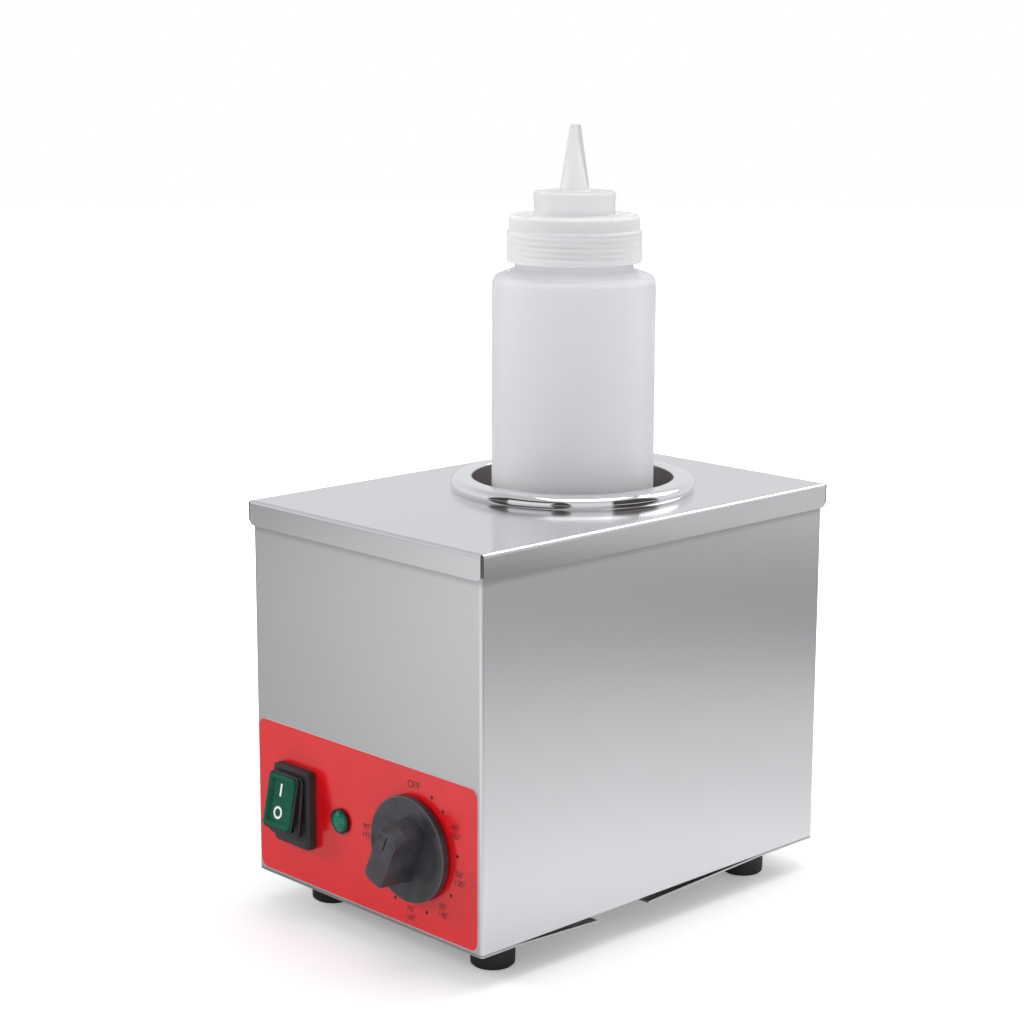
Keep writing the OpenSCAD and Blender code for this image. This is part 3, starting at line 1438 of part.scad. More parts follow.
casing_wrap();
rear_panel();
top_cover();
base_plate();
control_overlay();
foot_front_left();
foot_front_right();
foot_rear_left();
foot_rear_right();
foot_screws();
foot_nuts();
base_screws();
rear_screws();
cover_screws();
well();
well_collar();
collar_screws();
band_heater();
heater_strap();
strap_screw();
insulation_sleeve();
thermal_cutout();
cutout_bracket();
thermostat_body();
thermostat_shaft();
thermostat_screws();
thermostat_bulb();
bulb_clip();
capillary();
knob();
knob_clip();
switch_housing();
switch_blades();
switch_boot();
boot_fold();
boot_lip();
rocker();
pilot_lens();
pilot_body();
pilot_nut();
terminal_block();
terminal_screws();
earth_stud();
earth_nuts();
cord_bushing();
bushing_nut();
wire_live();
wire_neutral();
wire_control();
wire_heater();
wire_limit();
wire_return();
wire_earth();
pilot_leads();
bottle_body();
bottle_cap();
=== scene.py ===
# %% [markdown]
# A countertop topping warmer, dressed for a studio picture
#
# The machine is a folded stainless casing with a red control panel, a heated well and a
# squeeze bottle standing in it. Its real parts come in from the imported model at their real
# size, in metres. This lesson gives each of them its finish, and builds the pieces whose shape
# the eye reads first: the well, the knob, the switch, the pilot light, the bottle and the print.
# Nothing is placed by eye: each piece takes its place from the part that carries it.

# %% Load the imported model
import json
import math

import bmesh
import bpy
from mathutils import Matrix, Vector


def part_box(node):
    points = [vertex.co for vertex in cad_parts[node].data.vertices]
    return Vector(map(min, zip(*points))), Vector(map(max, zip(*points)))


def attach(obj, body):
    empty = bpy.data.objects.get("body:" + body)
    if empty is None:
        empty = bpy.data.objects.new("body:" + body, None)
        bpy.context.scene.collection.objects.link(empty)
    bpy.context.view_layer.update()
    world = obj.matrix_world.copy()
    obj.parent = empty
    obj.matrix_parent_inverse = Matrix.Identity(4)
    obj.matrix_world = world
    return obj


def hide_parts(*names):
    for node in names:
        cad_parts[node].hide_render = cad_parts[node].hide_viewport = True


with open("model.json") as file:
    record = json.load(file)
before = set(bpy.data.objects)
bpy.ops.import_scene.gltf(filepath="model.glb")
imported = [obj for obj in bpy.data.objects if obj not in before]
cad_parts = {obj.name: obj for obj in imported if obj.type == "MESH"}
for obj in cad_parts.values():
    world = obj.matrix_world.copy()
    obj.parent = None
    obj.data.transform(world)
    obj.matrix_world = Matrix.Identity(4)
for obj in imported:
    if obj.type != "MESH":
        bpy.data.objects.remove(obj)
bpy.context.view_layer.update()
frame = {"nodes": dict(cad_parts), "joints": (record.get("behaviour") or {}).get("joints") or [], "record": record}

MM = 0.001
nodes = frame["nodes"]
slot_of = {part["node"]: part["material_slot"] for part in frame["record"]["subparts"]}
joints = {joint["name"]: joint for joint in frame["joints"]}
scene = bpy.context.scene

# %% [markdown]
# The camera stands where the photographer's did
#
# The picture was taken from the front right corner, a metre away and a little above the cover.
# The numbers came from matching the casing's corners. The film is square, so the lens follows
# from the picture's width in pixels.

# %% Camera
CASING_FOOT = 15 * MM
PICTURE_WIDTH = 1024
FOCAL_PIXELS = 2330.7
FILM_WIDTH = 36
CLIP_NEAR = 0.05
CLIP_FAR = 50
TURN = math.radians(46.03)
TILT = math.radians(11.8)
ROLL = math.radians(0.18)
DISTANCE = 991.2 * MM
AIM_HEIGHT = 79 * MM
SHIFT_RIGHT = -13.1 * MM
SHIFT_UP = 68.6 * MM



def put_in(name, data):
    """A new object in the scene."""
    made = bpy.data.objects.new(name, data)
    scene.collection.objects.link(made)
    return made


cover_low, cover_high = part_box("top_cover")
casing_middle = Vector(((cover_low.x + cover_high.x) / 2, (cover_low.y + cover_high.y) / 2, CASING_FOOT))
back = Vector((math.sin(TURN) * math.cos(TILT), -math.cos(TURN) * math.cos(TILT), math.sin(TILT)))
level_right = Vector((math.cos(TURN), math.sin(TURN), 0))
level_up = back.cross(level_right)
right = math.cos(ROLL) * level_right + math.sin(ROLL) * level_up
up = math.cos(ROLL) * level_up - math.sin(ROLL) * level_right
eye = casing_middle + Vector((0, 0, AIM_HEIGHT)) + DISTANCE * back
eye += SHIFT_RIGHT * level_right + SHIFT_UP * level_up

camera = put_in("camera", bpy.data.cameras.new("camera"))
camera.data.sensor_width = FILM_WIDTH
camera.data.lens = FILM_WIDTH * FOCAL_PIXELS / PICTURE_WIDTH
camera.data.clip_start = CLIP_NEAR
camera.data.clip_end = CLIP_FAR
camera.matrix_world = Matrix.Translation(eye) @ Matrix((right, up, back)).transposed().to_4x4()
scene.camera = camera
print("lens in mm:", round(camera.data.lens, 1), "camera at:", [round(v, 3) for v in eye])

# %% [markdown]
# How a material is built here
#
# Each finish is one shader with its own colour, roughness and metalness, and a few procedural
# textures that disturb them: grain in the colour, a change of gloss and a fine relief. All the
# textures run on the object's own coordinates, which are metres here, so a scale of 1000 gives
# a grain of one millimetre. Nothing depends on an image or on where the camera stands.

# %% Shaders, nodes and links


def feed(material, node, socket, value):
    """Gives a socket a plain value, or joins it to another node's output."""
    if isinstance(value, bpy.types.NodeSocket):
        material.node_tree.links.new(value, node.inputs[socket])
    else:
        node.inputs[socket].default_value = value


def add(material, kind, values=(), **settings):
    """A new node: its settings first, then the values of its sockets."""
    node = material.node_tree.nodes.new(kind)
    for key, value in settings.items():
        setattr(node, key, value)
    for socket, value in dict(values).items():
        feed(material, node, socket, value)
    return node


def shader_of(material):
    """The one shader of a material."""
    return material.node_tree.nodes["Principled BSDF"]


def drive(material, socket, value):
    """Gives a socket of the shader a plain value or a texture."""
    feed(material, shader_of(material), socket, value)


def finish(name, colour, roughness, metal=0.0, **more):
    """A new material whose even values are set on the shader itself."""
    made = bpy.data.materials.new(name)
    made.use_nodes = True
    even = {"Base Color": (*colour, 1), "Roughness": roughness, "Metallic": metal, **more}
    for socket, value in even.items():
        drive(made, socket.replace("_", " "), value)
    return made


def place_in(material):
    """The object's own coordinates, in metres."""
    return add(material, "ShaderNodeTexCoord").outputs["Object"]


# %% [markdown]
# Textures and ramps
#
# A noise lies between 0 and 1, but nearly all of it lies near the middle, so the helpers stretch
# that middle part. A ramp turns a measure into a tone, and eases softly from stop to stop. A
# relief tilts the surface's normal by a texture, for what is too fine to be a shape.

# %% Textures and ramps
NOISE_RANGE = (0.3, 0.7)


def grain(material, scale, detail=3.0, stretch=(1, 1, 1)):
    """A soft noise between 0 and 1. The scale is in cells per metre, times the stretch."""
    cells = {"Vector": place_in(material), "Scale": [scale * s for s in stretch]}
    mapping = add(material, "ShaderNodeMapping", cells)
    cloud = {"Vector": mapping.outputs["Vector"], "Scale": 1, "Detail": detail}
    return add(material, "ShaderNodeTexNoise", cloud).outputs["Fac"]


def rescaled(material, value, start, stop, low=0.0, high=1.0):
    """Turns the stretch from start to stop into the one from low to high, held outside it."""
    ends = {"Value": value, "From Min": start, "From Max": stop, "To Min": low, "To Max": high}
    return add(material, "ShaderNodeMapRange", ends).outputs["Result"]


def spread(material, value, low, high, socket):
    """Drives a socket of the shader from low to high as a texture goes from dark to light."""
    drive(material, socket, rescaled(material, value, *NOISE_RANGE, low, high))


def ramp_through(material, value, marks, easing="LINEAR"):
    """A ramp through marks, each a position between 0 and 1 and its colour."""
    ramp = add(material, "ShaderNodeValToRGB", {"Fac": value})
    ramp.color_ramp.interpolation = easing
    stops = ramp.color_ramp.elements
    while len(stops) < len(marks):
        stops.new(0.5)
    for stop, (position, colour) in zip(stops, marks):
        stop.position = position
        stop.color = (*colour, 1)
    return ramp.outputs["Color"]


def tint(material, value, dark, light, span=NOISE_RANGE):
    """Paints the colour between two tones of it."""
    drive(material, "Base Color", ramp_through(material, value, list(zip(span, (dark, light)))))


def ramp_of(material, value, *stops, hue=(1, 1, 1)):
    """A soft ramp through (value, tone) stops, grey if no other hue is given."""
    low, high = stops[0][0], stops[-1][0]
    marks = [((level - low) / (high - low), [tone * part for part in hue]) for level, tone in stops]
    return ramp_through(material, rescaled(material, value, low, high), marks, "EASE")


def relief(material, value, height, strength=1.0):
    """Raises the surface by a texture. The height is in metres. A second relief adds to the first."""
    bump = add(material, "ShaderNodeBump", {"Height": value, "Distance": height, "Strength": strength})
    for old in shader_of(material).inputs["Normal"].links:
        feed(material, bump, "Normal", old.from_socket)
    drive(material, "Normal", bump.outputs["Normal"])


# %% Mixing and measuring


def mixed(material, factor, first, second, how="MIX"):
    """From one colour to the other, by a factor."""
    first, second = [(*side, 1) if isinstance(side, tuple) else side for side in (first, second)]
    values = {"Factor": factor, "A": first, "B": second}
    return add(material, "ShaderNodeMix", values, data_type="RGBA", blend_type=how).outputs["Result"]


def measured(material, operation, vector, other=(0, 0, 0)):
    """One number out of a place and a fixed vector."""
    pair = {0: vector, 1: other}
    return add(material, "ShaderNodeVectorMath", pair, operation=operation).outputs["Value"]


def across(material, vector, direction):
    """How far a place lies along a direction."""
    return measured(material, "DOT_PRODUCT", vector, direction)


def height_in(material):
    """How high a place lies, in metres."""
    return across(material, place_in(material), (0, 0, 1))


def plan_of(material, middle):
    """The object's own coordinates seen from above, counted from a middle."""
    values = {"Vector": place_in(material), "Location": (-middle.x, -middle.y, 0), "Scale": (1, 1, 0)}
    return add(material, "ShaderNodeMapping", values).outputs["Vector"]


def number(material, operation, *values):
    """One math operation on texture values and plain numbers, from left to right."""
    result = values[0]
    for value in values[1:] or (0.0,):
        pair = {0: result, 1: value}
        result = add(material, "ShaderNodeMath", pair, operation=operation).outputs["Value"]
    return result


def tones(colour, change):
    """A darker and a lighter tone of a colour."""
    return [c * (1 - change) for c in colour], [min(1.0, c * (1 + change)) for c in colour]


# %% [markdown]
# Stainless sheet
#
# The casing and cover are cold-rolled stainless sheet with a smooth satin finish. A satin sheet
# is neither a mirror nor a grey paint: it throws a blurred picture of the room. The shader is
# therefore a true metal with a low roughness, and the rolling is a very fine grain in one
# direction that changes the gloss by a hair. Broad faint clouds stand for handling. Under the
# cover's flange the casing has a painted shadow, a soft dark line, and the cover has painted
# shade in its corner slits, where the eye looks between two sheets.

# %% Stainless finishes
# Tone, reach and soft edge, in mm, of the painted shadow line under the cover's flange.
LINE_TONE = 0.72
LINE_REACH = 3.5
LINE_EDGE = 0.3
# Tone, inset, reach and soft edge, in mm, of the painted shade in the cover's corner slits.
SLIT_TONE = 0.12
SLIT_IN = 0.5
SLIT_REACH = 0.55
SLIT_EDGE = 0.15


def rolled_steel(name, tone, roughness, stretch):
    """Satin sheet whose rolling lines run along the axis that the stretch leaves at 1 or less."""
    colour = (tone, tone * 1.005, tone * 1.02)
    made = finish(name, colour, roughness, metal=1.0)
    lines = grain(made, 6000, detail=1, stretch=stretch)
    clouds = grain(made, 14, detail=2)
    tint(made, clouds, *tones(colour, 0.008))
    spread(made, lines, roughness * 0.99, roughness * 1.01, "Roughness")
    return made


def painted(material):
    """The texture that paints the base colour so far."""
    return shader_of(material).inputs["Base Color"].links[0].from_socket


def shade(material, value, tone, *stops):
    """Darkens a colour to a tone of itself, as far as a ramp says."""
    factor = ramp_of(material, value, *stops)
    shaded = mixed(material, factor, painted(material), (tone, tone, tone), how="MULTIPLY")
    drive(material, "Base Color", shaded)


def painted_shadow_under_cover(material):
    """A painted shadow: a soft dark line on the sheet below the cover's flange."""
    edge = cover_low.z
    shade(material, height_in(material), LINE_TONE, (edge - LINE_REACH * MM, 0), (edge - LINE_EDGE * MM, 1))


def painted_shade_in_slits(material):
    """Painted shade: the dark between two sheets, round the four corners of the cover."""
    plan = plan_of(material, casing_middle)
    folded = add(material, "ShaderNodeVectorMath", {0: plan}, operation="ABSOLUTE")
    corner = (cover_high.x - SLIT_IN * MM, cover_high.y - casing_middle.y - SLIT_IN * MM, 0)
    away = measured(material, "DISTANCE", folded.outputs["Vector"], corner)
    shade(material, away, SLIT_TONE, (SLIT_REACH * MM, 1), ((SLIT_REACH + SLIT_EDGE) * MM, 0))


steel = {
    "casing_wrap": rolled_steel("satin_casing", 0.72, 0.27, (0.01, 0.01, 1)),
    "rear_panel": rolled_steel("satin_rear", 0.68, 0.27, (0.01, 0.01, 1)),
    "top_cover": rolled_steel("satin_cover", 0.70, 0.16, (0.01, 1, 0.01)),
    "base_plate": rolled_steel("plain_base", 0.52, 0.34, (1, 0.01, 0.01)),
}
painted_shadow_under_cover(steel["casing_wrap"])
painted_shade_in_slits(steel["top_cover"])
print("stainless finishes:", len(steel))

# %% [markdown]
# Every other finish
#
# The rest of the machine is named by what it is made of. The record already says which slot each
# part belongs to, so one material per slot covers the parts inside too. After its colour stand a
# plastic's roughness, grain, change of tone and depth of relief, the lengths in mm. A metal has
# the same, without the grain. The film of the panel shows its pale core where it was cut. The
# knob's rounded edges are painted a little paler: a painted highlight, which also stands for wear
# from hands. Both are painted by how far a face turns away from the front.

# %% Kinds of finish


def moulded(name, colour, roughness, grain_size=0.25, change=0.08, depth=0.01, **more):
    """Moulded plastic or rubber: an even colour with a fine pebble left by the tool."""
    made = finish(name, colour, roughness, **more)
    pebble = grain(made, 1000 / grain_size, detail=2)
    clouds = grain(made, 90, detail=2)
    tint(made, clouds, *tones(colour, change))
    spread(made, pebble, roughness * 0.9, min(1, roughness * 1.12), "Roughness")
    relief(made, pebble, depth * MM)
    return made


def plated(name, colour, roughness, change=0.1, depth=0.0016):
    """Plated or bare metal hardware, with a slightly mottled tone."""
    made = finish(name, colour, roughness, metal=1.0)
    mottle = grain(made, 600, detail=3)
    tint(made, mottle, *tones(colour, change))
    spread(made, mottle, roughness * 0.8, roughness * 1.25, "Roughness")
    relief(made, mottle, depth * MM)
    return made


def fibre(name, colour):
    """Mineral wool: short fibres that cross each other."""
    made = finish(name, colour, 0.95)
    along = grain(made, 900, detail=4, stretch=(0.15, 1, 1))
    athwart = grain(made, 900, detail=4, stretch=(1, 0.15, 1))
    tint(made, along, *tones(colour, 0.25))
    for fibres in (along, athwart):
        relief(made, fibres, 0.3 * MM)
    return made


def milky(name, colour, roughness, clear):
    """Natural polyethylene: most of the light goes through its rough skin, and the rest is scattered."""
    made = finish(name, colour, roughness, Transmission_Weight=clear, IOR=1.15)
    clouds = grain(made, 40, detail=2)
    spread(made, clouds, roughness * 0.94, roughness * 1.06, "Roughness")
    return made


# %% Finishes by slot
slots = {
    "zinc": plated("zinc_plate", (0.62, 0.64, 0.66), 0.3),
    "well_steel": plated("polished_well", (0.8, 0.81, 0.83), 0.05, 0.01, 0.0001),
    "collar_steel": plated("plain_collar", (0.58, 0.59, 0.61), 0.35),
    "heater_sheath": plated("heater_sheath", (0.5, 0.44, 0.34), 0.42, 0.2),
    "wool": fibre("mineral_wool", (0.82, 0.78, 0.66)),
    "control_metal": plated("control_metal", (0.55, 0.56, 0.56), 0.38),
    "shaft_brass": plated("brass", (0.72, 0.56, 0.28), 0.28),
    "copper": plated("copper", (0.74, 0.42, 0.28), 0.3),
    "overlay_red": moulded(
        "red_overlay", (0.72, 0.004, 0.008), 0.17, 0.2, 0.03, 0.001, Specular_IOR_Level=0.95
    ),
    "foot_rubber": moulded("foot_rubber", (0.016, 0.016, 0.018), 0.6, 0.5, 0.2, 0.03),
    "knob_plastic": moulded("knob_plastic", (0.046, 0.045, 0.053), 0.4, 0.6, 0.4, 0.03),
    "black_plastic": moulded("black_plastic", (0.02, 0.02, 0.022), 0.4),
    "boot_rubber": moulded("boot_rubber", (0.03, 0.03, 0.033), 0.55, 0.4, 0.2, 0.02),
    "block_nylon": moulded("natural_nylon", (0.82, 0.8, 0.74), 0.5),
    "wire_brown": moulded("brown_insulation", (0.2, 0.09, 0.04), 0.45),
    "wire_blue": moulded("blue_insulation", (0.05, 0.13, 0.45), 0.45),
    "wire_earth": moulded("green_yellow_insulation", (0.3, 0.45, 0.05), 0.45),
    "wire_red": moulded("red_insulation", (0.35, 0.05, 0.05), 0.45),
    "rocker_green": moulded(
        "green_rocker", (0.0, 0.082, 0.042), 0.12, 1.5, 0.1, 0.001, Specular_IOR_Level=0.22
    ),
    "lens_green": finish("green_lens", (0.005, 0.3, 0.18), 0.12, Transmission_Weight=0.5),
    "bottle_clear": milky("bottle_plastic", (0.965, 0.967, 0.978), 0.65, 0.75),
    "cap_clear": milky("cap_plastic", (0.995, 0.996, 1.0), 0.36, 0.72),
}


# %% Pale edges, and every part dressed


def pale_edges(material, pale, *stops):
    """Paints the faces that turn away from the front."""
    turned_to = add(material, "ShaderNodeTexCoord").outputs["Normal"]
    facing_front = number(material, "ABSOLUTE", across(material, turned_to, (0, 1, 0)))
    paleness = ramp_of(material, facing_front, *stops)
    drive(material, "Base Color", mixed(material, paleness, painted(material), pale))


pale_edges(slots["overlay_red"], (0.75, 0.62, 0.62), (0.5, 1), (0.8, 0))
# The knob's paler edges are a painted highlight along its rounded edges, which also stands for wear from hands.
pale_edges(slots["knob_plastic"], (0.09, 0.086, 0.09), (0.3, 0), (0.45, 1), (0.85, 1), (0.93, 0))


def dress(node, material):
    """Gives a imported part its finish, whatever slots it came with."""
    mesh = nodes[node].data
    mesh.materials.clear()
    mesh.materials.append(material)


for node in nodes:
    dress(node, steel.get(node) or slots[slot_of[node]])
print("dressed parts:", len(nodes))

# %% [markdown]
# How a piece is shaped here
#
# Most things on this machine were turned, blow-moulded or pressed, so their shape is a row of
# outlines, one above the other. A loft skins such a row: circles of different sizes make a
# bottle, round-cornered rectangles make a rubber frame. A bevel modifier then rounds the edges
# that a mould can't leave sharp, and that thin round edge is what catches the light.

# %% Places and outlines
ROUND = 96

front_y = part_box("casing_wrap")[0].y
label_face = (front_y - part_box("control_overlay")[0].y) / MM
print("label stands out by mm:", round(label_face, 2))


def middle(node):
    """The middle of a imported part's box."""
    low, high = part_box(node)
    return (low + high) / 2


def half_width(node):
    """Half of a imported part's width, in mm."""
    low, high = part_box(node)
    return (high.x - low.x) / 2 / MM


def upright(x, y):
    """Places a shape that stands on an upright axis. Its heights are the machine's own."""
    return Matrix.Translation((x, y, 0))


def on_front(x, z):
    """Places a shape drawn facing the reader: X to the right, Y up, and Z out of the front."""
    outward = Matrix(((1, 0, 0, 0), (0, 0, -1, 0), (0, 1, 0, 0), (0, 0, 0, 1)))
    return Matrix.Translation((x, front_y, z)) @ outward


def circle(radius, height, count=ROUND):
    """A ring of points in mm."""
    turns = [math.tau * k / count for k in range(count)]
    return [(radius * math.cos(t), radius * math.sin(t), height) for t in turns]


def pad(width, height, corner, level, steps=6):
    """A rectangle of points in mm with round corners."""
    points = []
    for k, (sx, sy) in enumerate(((1, 1), (-1, 1), (-1, -1), (1, -1))):
        for step in range(steps + 1):
            t = math.radians(90) * (k + step / steps)
            x = sx * (width / 2 - corner) + corner * math.cos(t)
            y = sy * (height / 2 - corner) + corner * math.sin(t)
            points.append((x, y, level))
    return points


def at(x, y, ring):
    """A ring of points moved sideways in its own plane."""
    return [(px + x, py + y, pz) for px, py, pz in ring]


def inset(size, by):
    """A width and height made smaller on every side."""
    return (size[0] - 2 * by, size[1] - 2 * by)


def arc(out, up, radius, start, stop, steps=8):
    """Points on a round stretch of an outline, from one angle to another in degrees."""
    turns = [math.radians(start + (stop - start) * k / steps) for k in range(steps + 1)]
    return [(out + radius * math.cos(t), up + radius * math.sin(t)) for t in turns]


# %% Skins and pieces
SMOOTH_ANGLE = math.radians(35)


def show(name, shape, material):
    """Turns finished geometry into a smooth object with its material."""
    bmesh.ops.recalc_face_normals(shape, faces=shape.faces)
    mesh = bpy.data.meshes.new(name)
    shape.to_mesh(mesh)
    shape.free()
    mesh.shade_smooth()
    mesh.set_sharp_from_angle(angle=SMOOTH_ANGLE)
    mesh.materials.append(material)
    return put_in(name, mesh)


def skin(shape, rings, place, loop=False):
    """Adds a skin over a row of rings in mm, with a cap at each end if it isn't a loop."""
    rows = [[shape.verts.new(place @ (Vector(point) * MM)) for point in ring] for ring in rings]
    pairs = list(zip(rows, rows[1:]))
    if loop:
        pairs.append((rows[-1], rows[0]))
    for low, high in pairs:
        for k in range(len(low)):
            after = (k + 1) % len(low)
            shape.faces.new((low[k], low[after], high[after], high[k]))
    if not loop:
        shape.faces.new(rows[0])
        shape.faces.new(rows[-1])


def loft(name, rings, place, material, loop=False):
    """One object skinned over a row of rings."""
    shape = bmesh.new()
    skin(shape, rings, place, loop)
    return show(name, shape, material)


def turned(name, outline, place, material, loop=False, count=ROUND):
    """One object turned from an outline of (radius, height) points."""
    return loft(name, [circle(r, h, count) for r, h in outline], place, material, loop)


def soften(piece, width, steps=3):
    """Rounds every edge that is sharper than the smooth angle."""
    bevel = piece.modifiers.new("soft_edges", "BEVEL")
    bevel.width = width * MM
    bevel.segments = steps
    bevel.limit_method = "ANGLE"
    bevel.angle_limit = SMOOTH_ANGLE
    bevel.harden_normals = True
    return piece


def fit(piece, body, slot, *stands_for):
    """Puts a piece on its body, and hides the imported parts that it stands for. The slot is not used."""
    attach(piece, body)
    if stands_for:
        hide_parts(*stands_for)
    print(piece.name, "on", body, "faces:", len(piece.data.polygons))
    return piece


# %% [markdown]
# The well and its polished rim
#
# The well is spun from one stainless disc. Its rim is rolled over so that no cut edge shows: a
# broad crown, a little arched, that ends in a tight roll and comes down on the cover. It is the
# only mirror on the machine, and a mirror shows every facet, so its arcs are fine. Below the
# mouth the spinning was never buffed, and heat has browned it.

# %% Well
RIM_WIDTH = 9.4
CROWN_RADIUS = 24.0
CROWN_IN = 3.4
ROLL_RADIUS = 3.2
RIM_METAL = 0.9
MOUTH_EDGE = 0.5
MOUTH_DROP = 0.9
WALL_TOP = 3.0
WELL_WALL = 1.0
WELL_CORNER = 6.0
WELL_HUB = 2.0
FINE_ROUND = 240

well_low, well_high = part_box("well")
rim_radius = half_width("well")
rim_top = well_high.z / MM
cover_face = cover_high.z / MM
mouth = rim_radius - RIM_WIDTH
well_spot = upright(middle("well").x, middle("well").y)


def rim_arcs(thickness, foot):
    """The crown and the roll of the rim from mouth to cover, grown inward by a thickness."""
    crown = (mouth + CROWN_IN, rim_top - CROWN_RADIUS)
    roll_out = rim_radius - ROLL_RADIUS
    rise = math.sqrt((CROWN_RADIUS - ROLL_RADIUS) ** 2 - (roll_out - crown[0]) ** 2)
    meet = math.degrees(math.atan2(rise, roll_out - crown[0]))
    start = math.degrees(math.acos((foot - crown[0]) / (CROWN_RADIUS - thickness)))
    roll_middle = crown[1] + rise
    end = math.degrees(math.asin((cover_face - roll_middle) / (ROLL_RADIUS - thickness)))
    points = arc(*crown, CROWN_RADIUS - thickness, start, meet, steps=10)
    return points + arc(roll_out, roll_middle, ROLL_RADIUS - thickness, meet, end, steps=28)[1:]


def well_outline():
    """Up the inside of the well, over its rim, back under the roll and down the outside."""
    foot = well_low.z / MM
    floor_face = foot + WELL_WALL
    inner = mouth - WELL_CORNER
    outside = mouth + WELL_WALL
    path = [(WELL_HUB, floor_face), *arc(inner, floor_face + WELL_CORNER, WELL_CORNER, -90, 0)]
    path += [(mouth, cover_face - WALL_TOP)]
    path += arc(mouth + MOUTH_EDGE, rim_top - MOUTH_DROP, MOUTH_EDGE, 180, 110, steps=5)
    path += rim_arcs(0, mouth + MOUTH_EDGE)
    path += rim_arcs(RIM_METAL, outside)[::-1]
    path += [(outside, floor_face + WELL_CORNER)]
    path += arc(inner, floor_face + WELL_CORNER, WELL_CORNER + WELL_WALL, 0, -90)
    return path + [(WELL_HUB, foot)]


# %% Well finish
BUFFED = (0.8, 0.8, 0.81)
BUFFED_ROUGHNESS = 0.05
OXIDE = (0.2, 0.18, 0.175)
OXIDE_METAL = 0.35
OXIDE_ROUGHNESS = 0.4
OXIDE_EDGE = 0.4


def browned(material):
    """Turns the metal inside the mouth into dull brown oxide."""
    out = measured(material, "LENGTH", plan_of(material, well_spot.translation))
    buffed = ramp_of(material, out, (mouth * MM, 0), ((mouth + OXIDE_EDGE) * MM, 1))
    drive(material, "Base Color", mixed(material, buffed, OXIDE, BUFFED))
    spread(material, buffed, OXIDE_METAL, 1.0, "Metallic")
    spread(material, buffed, OXIDE_ROUGHNESS, BUFFED_ROUGHNESS, "Roughness")


browned(slots["well_steel"])
well_piece = turned("well_spun", well_outline(), well_spot, slots["well_steel"], count=FINE_ROUND)
fit(well_piece, "warmer", "well_steel", "well")

# %% [markdown]
# The knob
#
# A moulded phenolic knob: a round skirt that hides the shaft's hole, and a bar to hold. The bar
# is a slice of a cone between two drafted flats, so each of its sections is a strip with round
# ends, and above a crease its pointed end slopes back to a brow. A shallow dish in the skirt runs
# round the bar. The mould was spark-eroded, which leaves a fine pebble, and the pointer is a
# groove filled with paint. The knob stands at its rest angle, which the joint's range gives.

# %% Knob
SKIRT_BACK = 0.9
SKIRT_FACE = 4.2
SKIRT_EDGE = 0.45
SKIRT_WALL = 1.6
SKIRT_HOLLOW = 1.4
BORE_RADIUS = 3.2
BORE_ROOF = 1.6
DISH = ((19.4, 0.02), (17.6, 0.16), (15.8, 0.46), (14.2, 0.72), (12.8, 0.8), (BORE_RADIUS, 0.8))
GRIP_RADIUS = 12.3
GRIP_WIDTH = 10.4
GRIP_DRAFT = 0.9
GRIP_FOOT = (-1.2, -0.4, 0.2)
GRIP_BROW = 6.0
GRIP_BROW_IN = 1.6
GRIP_CREASE = 0.3
KNOB_EDGE = 0.3
POINTER_LENGTH = 6.2
POINTER_WIDTH = 0.8
POINTER_DEPTH = 0.35
POINTER_ROUND = 0.45
POINTER_GAP = 0.04
POINTER_FILL = 0.12
POINTER_ROOT = 0.1
POINTER_IN = 2.2

knob_reach = (front_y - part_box("knob")[0].y) / MM
skirt_radius = half_width("knob")
turn_joint = joints["knob_turn"]
knob_spot = on_front(turn_joint["pos_m"][0], turn_joint["pos_m"][2])
knob_spot = knob_spot @ Matrix.Rotation(math.radians(turn_joint["range_deg"][0]), 4, "Z")


def grip_ring(level, brow=0.0, steps=14):
    """A section of the bar: a strip with round ends, narrower towards the top and at its brow."""
    share = (level - SKIRT_FACE) / (knob_reach - SKIRT_FACE)
    half = GRIP_WIDTH / 2 + GRIP_DRAFT * (1 - share)
    points = []
    for side, cut in ((1, brow), (-1, 0)):
        radius = GRIP_RADIUS + GRIP_DRAFT * (1 - share) - cut
        swing = math.asin(half / radius)
        turns = [swing * (1 - 2 * k / steps) for k in range(steps + 1)]
        points += [(side * radius * math.sin(t), side * radius * math.cos(t), level) for t in turns]
    return points


def knob_shape():
    """The skirt and the bar of the knob as one mesh."""
    inner = skirt_radius - SKIRT_WALL
    face = SKIRT_FACE
    turn = SKIRT_EDGE / 4
    skirt = [(BORE_RADIUS, face - BORE_ROOF), (inner, SKIRT_BACK + SKIRT_HOLLOW), (inner, SKIRT_BACK)]
    skirt += [(skirt_radius, SKIRT_BACK), (skirt_radius, face - SKIRT_EDGE)]
    skirt += [(skirt_radius - turn, face - turn), (skirt_radius - SKIRT_EDGE, face)]
    skirt += [(radius, face - deep) for radius, deep in DISH]
    shape = bmesh.new()
    skin(shape, [circle(r, h) for r, h in skirt], knob_spot)
    brow_foot = knob_reach - GRIP_BROW
    rings = [grip_ring(face + rise) for rise in GRIP_FOOT]
    rings.append(grip_ring(brow_foot - GRIP_CREASE))
    for rise in (GRIP_CREASE, GRIP_BROW - GRIP_CREASE, GRIP_BROW):
        rings.append(grip_ring(brow_foot + rise, GRIP_BROW_IN * rise / GRIP_BROW))
    skin(shape, rings, knob_spot)
    return shape


# %% Knob pointer


def settled(piece):
    """The mesh that an object's modifiers or its text come to."""
    bpy.context.view_layer.update()
    return bpy.data.meshes.new_from_object(piece.evaluated_get(bpy.context.evaluated_depsgraph_get()))


def carved(piece, cutter):
    """Cuts one object out of another for good, and throws the cutter away."""
    cut = piece.modifiers.new("groove", "BOOLEAN")
    cut.object = cutter
    cut.solver = "EXACT"
    whole = settled(piece)
    piece.modifiers.clear()
    old = piece.data
    piece.data = whole
    bpy.data.meshes.remove(old)
    bpy.data.objects.remove(cutter)
    whole.shade_smooth()
    whole.set_sharp_from_angle(angle=SMOOTH_ANGLE)
    return piece


